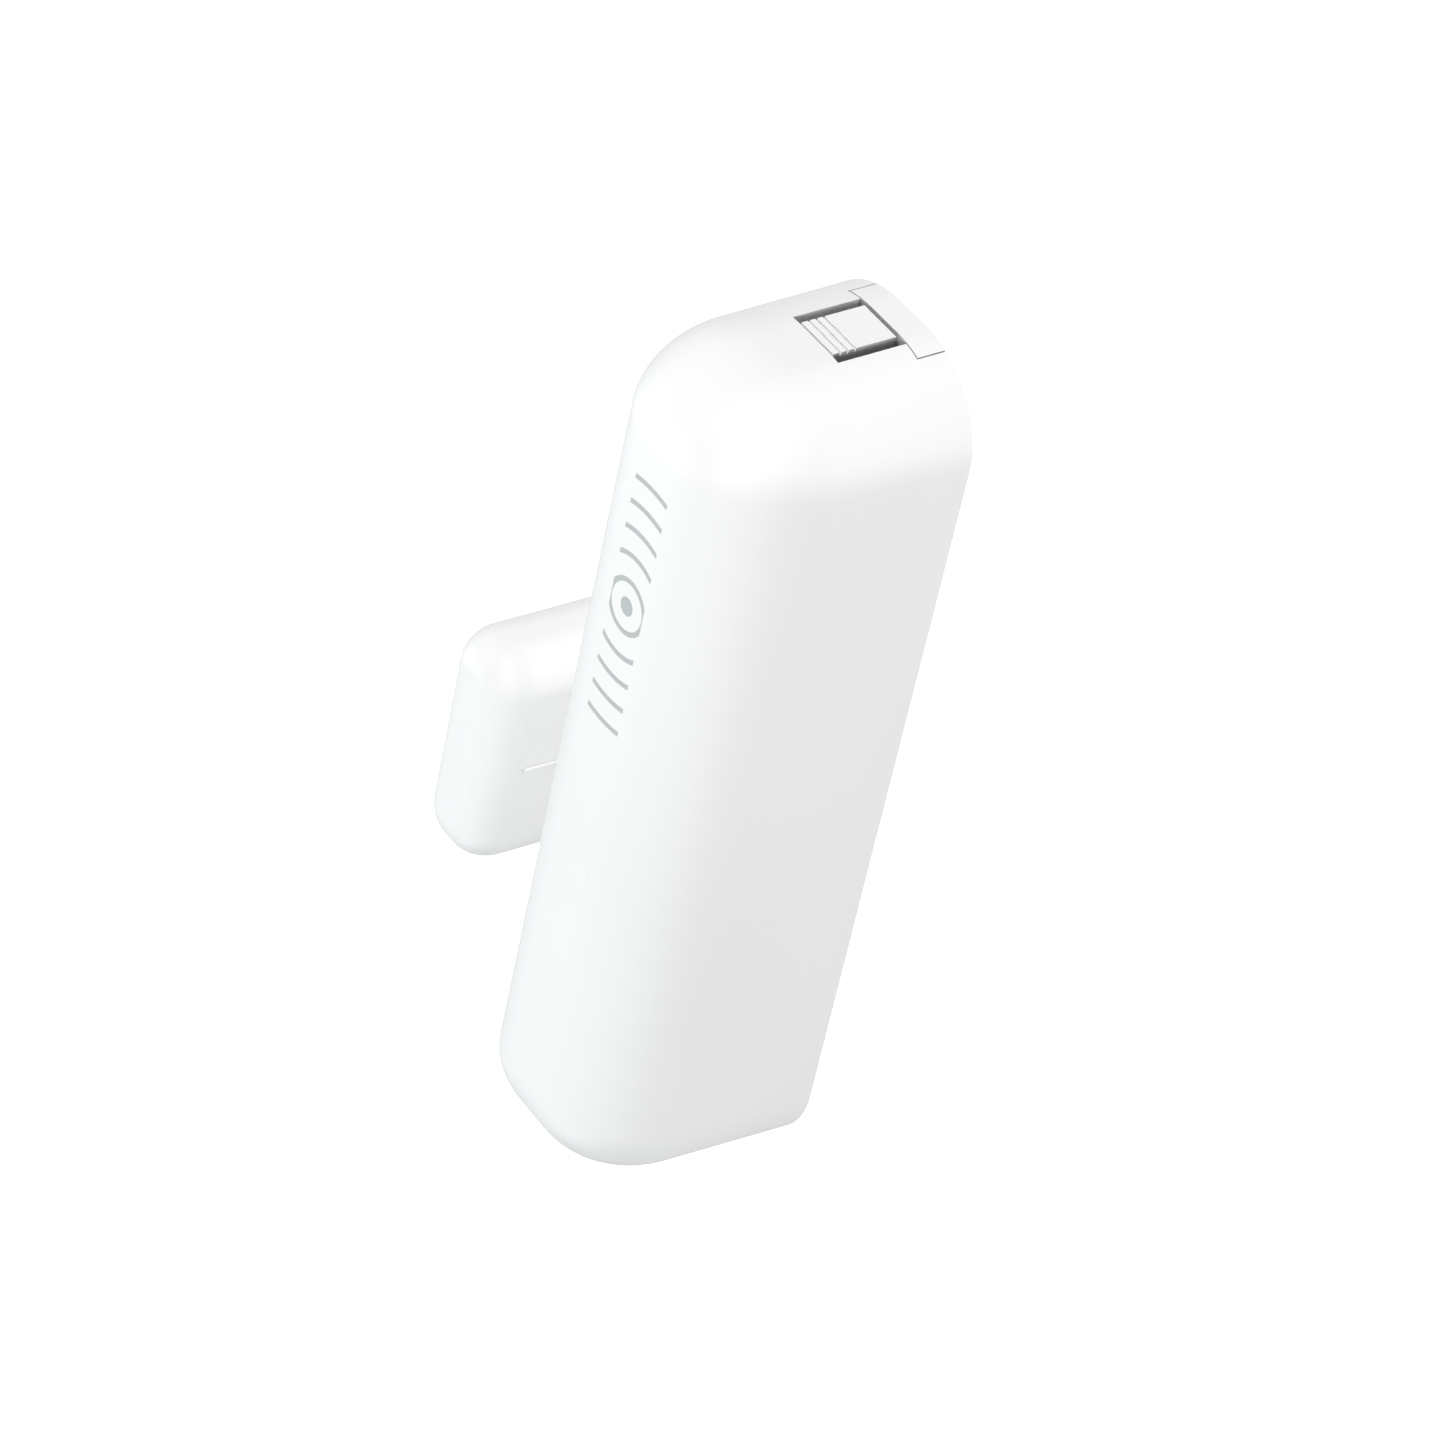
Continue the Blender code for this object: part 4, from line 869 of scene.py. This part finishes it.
def make_battery():
    height = CELL_TOP - CELL_BOTTOM
    base, up = (0, at(CELL_DEPTH), CELL_BOTTOM), (0, 0, 1)
    shoulder, rounding = 6.55, 0.5
    can = ([(0, height - 0.12), (5.0, height - 0.12), (5.3, height)]
           + round_corner(shoulder, height - rounding, rounding, 90, 0)
           + [(CELL_RADIUS, GROOVE_HEIGHT + GROOVE_HALF), (6.7, GROOVE_HEIGHT),
              (CELL_RADIUS, GROOVE_HEIGHT - GROOVE_HALF)]
           + round_corner(shoulder, rounding, rounding, 0, -90)
           + [(6.1, 0.0), (6.0, 0.35), (2.75, 0.35)] + round_corner(2.4, -0.9, 0.3, 0, -90) + [(0, -1.2)])
    add_piece("cell_can", lathe_mesh(can, base, up, 72), "cell_can", "battery_cell")
    vents = []
    for angle in (math.pi / 2 * i for i in range(4)):
        x, y = 1.9 * math.cos(angle), at(CELL_DEPTH) + 1.9 * math.sin(angle)
        vents.append(rod_mesh((x, y, CELL_BOTTOM - 1.21), (x, y, CELL_BOTTOM - 1.1), 0.3, 16))
    add_piece("cell_vents", merged(vents), "chip_epoxy")
    gasket = [(6.0, 0.14), (6.0, 0.34), (2.95, 0.34), (2.95, 0.2), (5.4, 0.14)]
    add_piece("cell_gasket", lathe_mesh(gasket, base, up, 64, True), "plunger_nylon")
    heights = [0.3 + (height - 0.6) * i / 60 for i in range(61)]
    low_lip = [(6.7, -0.03), (6.72, -0.11), (7.08, 0.02)]
    outer = [(sleeve_radius(h), h) for h in heights]
    top_lip = [(7.05, height - 0.02), (6.7, height + 0.1), (6.7, height + 0.03)]
    inner = [(sleeve_radius(h) - 0.1, h) for h in reversed(heights)]
    add_piece("cell_sleeve", lathe_mesh(low_lip + outer + top_lip + inner, base, up, 72, True), "cell_wrap",
              "battery_sleeve", angle=50)


def make_contacts():
    """A slotted leaf with a dimple under the positive end, and a conical spring over the negative one."""
    leaf_z, thickness = CELL_BOTTOM - 1.95, 0.15
    leaf = prism_mesh(rounded_rectangle(2.6, 4.0, 0.6, 6, (0, 9.4)), leaf_z - thickness, leaf_z,
                      lambda u, v, w: (u, at(v), w))
    slots = [block(about(x, 0.2), (6.4, 12.4), about(leaf_z, 1.0)) for x in (-1.9, 1.9)]
    add_piece("contact_leaf", leaf, "spring_steel", "positive_contact", cuts=slots, edge=0.03)
    dome = [(0, 0.35), (0.5, 0.34), (0.9, 0.25), (1.2, 0.08), (1.4, 0.0), (1.4, -0.04), (0, -0.04)]
    add_piece("contact_dimple", lathe_mesh(dome, (0, at(CELL_DEPTH), leaf_z), (0, 0, 1), 32), "spring_steel")
    turns, count = 2.5, 100
    bottom, top = CELL_TOP + 0.65, CELL_TOP + 1.75
    points = []
    for share in (i / count for i in range(count + 1)):
        angle, radius = 2 * math.pi * turns * share, 2.6 + 1.9 * share
        points.append((radius * math.cos(angle), at(CELL_DEPTH) + radius * math.sin(angle),
                       bottom + (top - bottom) * share))
    add_piece("contact_spring", tube_mesh(points, 0.18), "spring_steel", "negative_spring", angle=60)


# ---------------------------------------------------------------- circuit board
def standing(xs, zs, height):
    """A box on the board's back, as high as height."""
    return block(xs, (FOOT - height, FOOT), zs)


def make_shield():
    """A thin shield can with a grid of holes in its top and windows along its foot."""
    x, z, half_x, half_z, height, sheet, pitch = 2.0, -7.2, 4.2, 5.25, 1.8, 0.2, 1.35
    can = prism_mesh(rounded_rectangle(half_x, half_z, 0.6, 6, (x, z)), FOOT - height, FOOT, plan_place)
    hollow = prism_mesh(rounded_rectangle(half_x - sheet, half_z - sheet, 0.4, 6, (x, z)),
                        FOOT - height + sheet, FOOT + OVER, plan_place)
    holes = merged([peg(x + u * pitch, z + v * pitch, FOOT - height - OVER, FOOT - height + 0.5, 0.32, 16)
                    for u in range(-2, 3) for v in range(-3, 4)])
    windows = merged([standing(about(x, half_x + OVER), about(z + v * 2.5, 0.6), 0.35)
                      for v in (-1.5, -0.5, 0.5, 1.5)])
    add_piece("shield_can", can, "tinned_sheet", "radio_shield", cuts=(hollow, holes, windows), edge=0.09)


def make_chip():
    """The controller with a dot at its first pin and a row of solder pads along each side."""
    x, z, half, height = -0.2, -16.6, 2.5, 0.9
    pad_pitch, pad_half, pad_reach, pad_height = 0.5, 0.13, 0.15, 0.22
    dot = peg(x - 1.7, z + 1.7, FOOT - height + 0.08, FOOT - height - 0.1, 0.32, 24)
    add_piece("chip_package", standing(about(x, half - 0.04), about(z, half - 0.04), height), "chip_epoxy",
              "controller_chip", cuts=(dot,), edge=0.06)
    pads = []
    for along in ((i - 3.5) * pad_pitch for i in range(8)):
        for side in (-half, half):
            pads.append(standing(about(x + side, pad_reach), about(z + along, pad_half), pad_height))
            pads.append(standing(about(x + along, pad_half), about(z + side, pad_reach), pad_height))
    add_piece("chip_pads", merged(pads), "solder", edge=0.05)


def make_crystal():
    centre, half_x, half_z = (4.9, -16.4), 1.1, 2.3
    cap = prism_mesh(rounded_rectangle(half_x - 0.12, half_z - 0.12, 0.95, 12, centre),
                     FOOT - 1.2, FOOT - 0.1, plan_place)
    add_piece("crystal_cap", cap, "tinned_sheet", "crystal_can", edge=0.2, segments=4)
    flange = prism_mesh(rounded_rectangle(half_x, half_z, 1.05, 12, centre), FOOT - 0.2, FOOT, plan_place)
    add_piece("crystal_flange", flange, "tinned_sheet", edge=0.05)


def make_antenna():
    """A wire that rises from the board and runs into a coil of six turns."""
    turns, per_turn, pitch = 6, 36, 1.1
    bottom = ANTENNA_Z - ANTENNA_RADIUS
    points = [(ANTENNA_START_X, at(FOOT), bottom), (ANTENNA_X - 0.35, at(FOOT - 1.0), bottom),
              (ANTENNA_X - 0.12, at(FOOT - 2.0), bottom)]
    for i in range(2, turns * per_turn + 1):
        angle = 2 * math.pi * i / per_turn
        points.append((ANTENNA_X + pitch * i / per_turn, at(ANTENNA_DEPTH) + ANTENNA_RADIUS * math.sin(angle),
                       ANTENNA_Z - ANTENNA_RADIUS * math.cos(angle)))
    add_piece("antenna_coil", tube_mesh(points, 0.25), "enamelled_copper", "helical_antenna", angle=60)


def make_reed():
    """A glass tube sealed round two flat blades, whose wires bend down into the board."""
    centre_z = MAGNET_CENTRE_Z
    radius, bore, neck, wall = 0.9, 0.2, 0.5, 0.16
    seal, seal_z = 0.4, REED_HALF - 0.42
    outside = ([(bore, REED_HALF), (neck, REED_HALF)] + round_corner(neck, seal_z, seal, 80, 0)[1:]
               + [(radius, REED_HALF - 1.1), (radius, 1.1 - REED_HALF)]
               + round_corner(neck, -seal_z, seal, 0, -80)[:-1] + [(neck, -REED_HALF), (bore, -REED_HALF)])
    hollow, room = REED_HALF - 1.5, radius - wall
    inside = [(bore, -hollow), (room - 0.2, -hollow), (room, 0.3 - hollow), (room, hollow - 0.3),
              (room - 0.2, hollow), (bore, hollow)]
    envelope = lathe_mesh(outside + inside, (REED_X, at(REED_DEPTH), centre_z), (0, 0, 1), 36, True)
    add_piece("reed_envelope", envelope, "reed_glass", "reed_switch_glass", angle=50)
    wire = 0.09
    for name, sign in (("upper", 1), ("lower", -1)):
        y = at(REED_DEPTH) + sign * 0.12
        outer_z = centre_z + sign * (REED_HALF + REED_LEAD)
        path = rounded_path([(REED_X, y, centre_z + sign * 2.2), (REED_X, y, outer_z),
                             (REED_X, at(BOARD_BACK - 0.08), outer_z)], 0.5)
        blade = [(REED_X, y, centre_z + sign * step) for step in (-0.6, 0.2, 0.9, 1.5)]
        sizes = [(0.34, 0.05)] * 3 + [(0.28, 0.06)] + [(wire, wire)] * len(path)
        add_piece("reed_lead_" + name, tube_mesh(blade + path, wire, 12, sizes), "reed_nickel",
                  "reed_switch_lead_" + name, angle=60)


def make_led():
    """A domed lens with its flange, and the cup and post inside it."""
    foot = BOARD_FRONT + 0.1
    lens, flange, shoulder, dome_height = 1.5, 1.9, 3.4, 1.3
    dome = [(lens * math.sin(a), shoulder + dome_height * math.cos(a))
            for a in (math.pi / 2 * i / 12 for i in range(13))]
    profile = dome + [(lens, 0.95), (flange - 0.08, 0.9), (flange, 0.8), (flange, 0.06),
                      (flange - 0.06, 0.0), (0, 0)]
    add_piece("led_lens", lathe_mesh(profile, (0, at(foot), LED_Z), (0, -1, 0), 48), "led_lens", "status_led")
    cup_x, post_x = -0.3, 0.6
    parts = [peg(cup_x, LED_Z, foot + 2.2, foot + 2.7, 0.35, 24, 0.55)]
    parts += [block(about(x, 0.2), (foot + 0.05, foot + top), about(LED_Z, 0.2))
              for x, top in ((cup_x, 2.2), (post_x, 2.5))]
    add_piece("led_frame", merged(parts), "tinned_sheet", edge=0.03)


def make_capacitor():
    """A sleeved can with a bead groove near its foot and a scored lid."""
    radius, neck, height, lid_radius = 2.15, 1.93, 5.4, 1.6
    groove = [(radius - (radius - neck) * math.sin(math.pi * i / 8) ** 2, 1.35 - 0.6 * i / 8) for i in range(9)]
    profile = ([(0, height - 0.12), (1.62, height - 0.12), (1.66, height)]
               + round_corner(1.85, height - 0.3, 0.3, 90, 0)
               + groove + [(radius, 0.12), (radius - 0.12, 0.0), (0, 0)])
    add_piece("capacitor_body", lathe_mesh(profile, (CAPACITOR_X, at(FOOT), CAPACITOR_Z), (0, 1, 0), 56),
              "capacitor_sleeve", "bulk_capacitor")
    top = FOOT - height + 0.06
    scores = [block(about(CAPACITOR_X, u), (top - 0.1, top + 0.05), about(CAPACITOR_Z, v))
              for u, v in ((1.2, 0.06), (0.06, 1.2))]
    lid = peg(CAPACITOR_X, CAPACITOR_Z, top, top + 0.1, lid_radius)
    add_piece("capacitor_lid", lid, "tinned_sheet", cuts=scores, edge=0.03)


def make_tamper_switch():
    """A square switch with notched corners under a riveted frame, and the plunger the wall plate presses."""
    half, back, sheet = 2.0, 5.4, 0.16
    signs = [(u, v) for u in (-1, 1) for v in (-1, 1)]
    base = block(about(TAMPER_X, half), (back + sheet, FOOT), about(TAMPER_Z, half))
    corners = merged([block(about(TAMPER_X + u * half, 0.4), (FOOT - 0.7, FOOT + OVER),
                            about(TAMPER_Z + v * half, 0.4)) for u, v in signs])
    add_piece("tamper_base", base, "switch_black", "tamper_switch_base",
              cuts=(peg(TAMPER_X, TAMPER_Z, FOOT - 0.5, back - OVER, 1.0), corners), edge=0.1, segments=3)
    frame_plate = prism_mesh(rounded_rectangle(1.85, 1.85, 0.3, 4, (TAMPER_X, TAMPER_Z)),
                             back, back + sheet, plan_place)
    rivets = merged([peg(TAMPER_X + u * 1.4, TAMPER_Z + v * 1.4, back + 0.1, back - 0.1, 0.18, 16)
                     for u, v in signs])
    add_piece("tamper_frame", frame_plate, "tinned_sheet",
              cuts=(peg(TAMPER_X, TAMPER_Z, back + OVER, back - OVER, 1.15), rivets), edge=0.04)
    root, tip = FOOT - 1.5, 1.8
    length, tip_round, collar = root - tip, 0.35, 0.9
    profile = ([(0, length)] + round_corner(0.55, length - tip_round, tip_round, 90, 0)
               + [(collar, length - 2.6), (collar, 0.05), (collar - 0.05, 0.0), (0, 0)])
    pin = lathe_mesh(profile, (TAMPER_X, at(root), TAMPER_Z), (0, 1, 0), 40)
    add_piece("plunger_pin", pin, "plunger_nylon", "tamper_plunger", body="tamper_plunger")


def make_screws():
    """Two cross-recessed screws with a pan head and a threaded shank."""
    core, crest, pitch, end = 0.55, 0.7, 0.34, -3.3
    recess = 0.85, 0.14
    threads = []
    for z in (-0.3 - i * pitch for i in range(8)):
        threads += [(core, z), (crest, z - 0.14), (crest, z - 0.18), (core, z - 0.32)]
    profile = ([(0, 0.9), (0.7, 0.88), (1.1, 0.8), (1.36, 0.62), (1.5, 0.4), (1.5, 0.05),
                (1.45, 0.0), (0.6, 0.0)]
               + threads + [(0.3, end), (0, end)])
    for side, x in (("left", -BOARD_SCREW_X), ("right", BOARD_SCREW_X)):
        cross = [block(about(x, wide), (FOOT - 1.5, FOOT - 0.45), about(BOARD_SCREW_Z, tall))
                 for wide, tall in (recess, recess[::-1])]
        screw = lathe_mesh(profile, (x, at(FOOT), BOARD_SCREW_Z), (0, 1, 0), 36)
        add_piece("screw_" + side, screw, "screw_steel", "board_screw_" + side, cuts=cross)


SMALL_PARTS = (  # x, z, along x, size across
    (-0.9, -20.7, True, 0.5), (0.5, -20.7, True, 0.5), (-0.9, -21.9, True, 0.5), (0.5, -21.9, True, 0.5),
    (-0.2, -23.0, True, 0.6), (-2.0, -13.3, False, 0.5), (-0.6, -13.3, True, 0.5), (1.2, -13.3, True, 0.5),
    (3.0, -13.3, True, 0.5), (4.6, -13.2, True, 0.5), (-3.5, -14.4, False, 0.5), (-3.5, -16.2, False, 0.5),
    (-3.5, -18.0, False, 0.6), (3.1, -15.6, False, 0.5), (3.1, -17.4, False, 0.5),
)


def make_small_parts():
    """Chip capacitors and resistors with soldered ends round the controller, and the wires' solder joints."""
    half, height, end, grow = 0.5, 0.45, 0.22, 0.02
    bodies, ends = [], []
    for x, z, lying, size in SMALL_PARTS:
        across = size / 2
        for low, high, out, group in ((-half, end - half, grow, ends), (0.2 - half, half - 0.2, 0.0, bodies),
                                      (half - end, half, grow, ends)):
            u, v = (low, high), (-across - out, across + out)
            if not lying:
                u, v = v, u
            group.append(standing((x + u[0], x + u[1]), (z + v[0], z + v[1]), height + out))
    add_piece("chip_components", merged(bodies), "chip_ceramic", edge=0.03)
    add_piece("component_ends", merged(ends), "solder", edge=0.06)
    cone = [(0, 0.55), (0.24, 0.5), (0.3, 0.3), (0.42, 0.12), (0.62, 0.0), (0.62, -0.04), (0, -0.04)]
    outer = REED_HALF + REED_LEAD
    spots = ((ANTENNA_START_X, ANTENNA_Z - ANTENNA_RADIUS), (REED_X, MAGNET_CENTRE_Z + outer),
             (REED_X, MAGNET_CENTRE_Z - outer))
    joints = [lathe_mesh(cone, (x, at(FOOT), z), (0, 1, 0), 28) for x, z in spots]
    add_piece("solder_joints", merged(joints), "solder", angle=60)


# ---------------------------------------------------------------- the latch's pin and spring
def make_latch_parts():
    half, radius, chamfer = 4.1, 0.5, 0.1
    profile = [(0, half), (radius - chamfer, half), (radius, half - chamfer), (radius, chamfer - half),
               (radius - chamfer, -half), (0, -half)]
    add_piece("pivot_pin", lathe_mesh(profile, (0, at(PIN_DEPTH), PIN_HEIGHT), (1, 0, 0), 40), "screw_steel",
              "latch_pivot_pin")
    turns, per_turn, pitch, coil = 2, 36, 0.42, 0.78
    first_x, centre_y = -pitch * turns / 2, at(PIN_DEPTH)
    points = [(first_x - 0.1, centre_y + 2.2, PIN_HEIGHT - 0.85)]
    for i in range(turns * per_turn + 1):
        angle = -math.pi / 2 - 2 * math.pi * i / per_turn
        points.append((first_x + pitch * i / per_turn, centre_y + coil * math.cos(angle),
                       PIN_HEIGHT + coil * math.sin(angle)))
    points.append((0.1 - first_x, centre_y - 0.7, PIN_HEIGHT - 0.9))
    add_piece("return_spring", tube_mesh(points, 0.12), "spring_steel", "latch_torsion_spring", angle=60)


# ---------------------------------------------------------------- CAD pieces that are kept
def dress_cad():
    """Broken edges and a finish for the CAD pieces that are shown as they are."""
    # the inner chassis gets the near-black plastic that also serves as painted shade inside the housing
    for name, look, width in (("inner_chassis", "chassis_black", 0.08), ("circuit_board", "solder_mask", 0.04),
                              ("magnet_base_plate", "plate_white", 0.08), ("bar_magnet", "ferrite", 0.06)):
        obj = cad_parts[name]
        for holder in obj.material_slots:
            holder.material = LOOKS[look][0]
        break_edges(obj, width).harden_normals = True


# ---------------------------------------------------------------- stage and light, in metres
FLOOR_DROP, FLOOR_HALF = 0.6, 6.0
LIGHT_DISTANCE, LIGHT_SIZE = 0.5, 0.15
AMBIENT = 0.4
PURE_WHITE = (1.0, 1.0, 1.0, 1.0)
STUDIO_LIGHTS = (  # name, azimuth (0 in front, positive towards +X), elevation, power in watts, colour
    ("top_back", 180, 58, 0.250, 1.0, 1.0, 1.0),
    ("top_front", 0, 58, 0.990, 1.0, 0.97, 0.97),
    ("top_back_right", 135, 58, 0.220, 1.0, 1.0, 1.0),
    ("high_left", -103, 35, 0.315, 0.95, 1.0, 1.0),
    ("back", 180, 12, 1.220, 1.0, 0.98, 0.98),
    ("front_right", 36, 12, 1.085, 0.98, 0.99, 1.0),
    ("right", 108, 12, 0.425, 0.97, 0.98, 1.0),
    ("low_left", -60, -12, 0.850, 0.91, 1.0, 1.0),
    ("low_back_right", 156, -12, 0.990, 1.0, 0.98, 1.0),
    ("below_front", 0, -60, 0.640, 0.90, 1.0, 1.0),
)


def make_stage():
    """A pale floor far below that shows white and throws no light, and a white surround."""
    scene = bpy.context.scene
    scene.view_settings.view_transform = "Standard"
    bm = bmesh.new()
    bmesh.ops.create_grid(bm, x_segments=1, y_segments=1, size=FLOOR_HALF)
    mat, tree, shader = new_material("floor_white", (0.95, 0.95, 0.95), 0.7)
    feed(tree, shader, {"Emission Color": PURE_WHITE, "Emission Strength": 1.0})
    floor = link_piece("floor", bm, mat)
    floor.location.z = -FLOOR_DROP
    floor.visible_diffuse = False
    floor.visible_glossy = False
    world = bpy.data.worlds.new("world")
    scene.world = world
    world.use_nodes = True
    tree = world.node_tree
    fill = feed(tree, tree.nodes["Background"], {"Color": PURE_WHITE, "Strength": AMBIENT})
    seen = add_node(tree, "Background", {"Color": PURE_WHITE, "Strength": 1.0})
    path = add_node(tree, "LightPath", {})
    mix = add_node(tree, "MixShader", {"Fac": path.outputs["Is Camera Ray"], 1: fill.outputs["Background"],
                                       2: seen.outputs["Background"]})
    tree.links.new(mix.outputs["Shader"], tree.nodes["World Output"].inputs["Surface"])


def make_lights():
    for name, azimuth, elevation, power, *color in STUDIO_LIGHTS:
        data = bpy.data.lights.new(name, "AREA")
        data.shape = "DISK"
        data.size = LIGHT_SIZE
        data.energy = power
        data.color = color
        light = bpy.data.objects.new(name, data)
        bpy.context.scene.collection.objects.link(light)
        direction = towards(math.radians(azimuth), math.radians(elevation))
        light.matrix_world = Matrix.Translation(direction * LIGHT_DISTANCE) @ facing(direction)


for make in (make_camera, make_housing_shell, make_alignment_rib, make_pin_lugs, make_back_plate, make_latch,
             make_magnet_shell, make_foam, make_battery, make_contacts, make_shield, make_chip, make_crystal,
             make_antenna, make_reed, make_led, make_capacitor, make_tamper_switch, make_screws,
             make_small_parts, make_latch_parts, dress_cad, make_stage, make_lights):
    make()
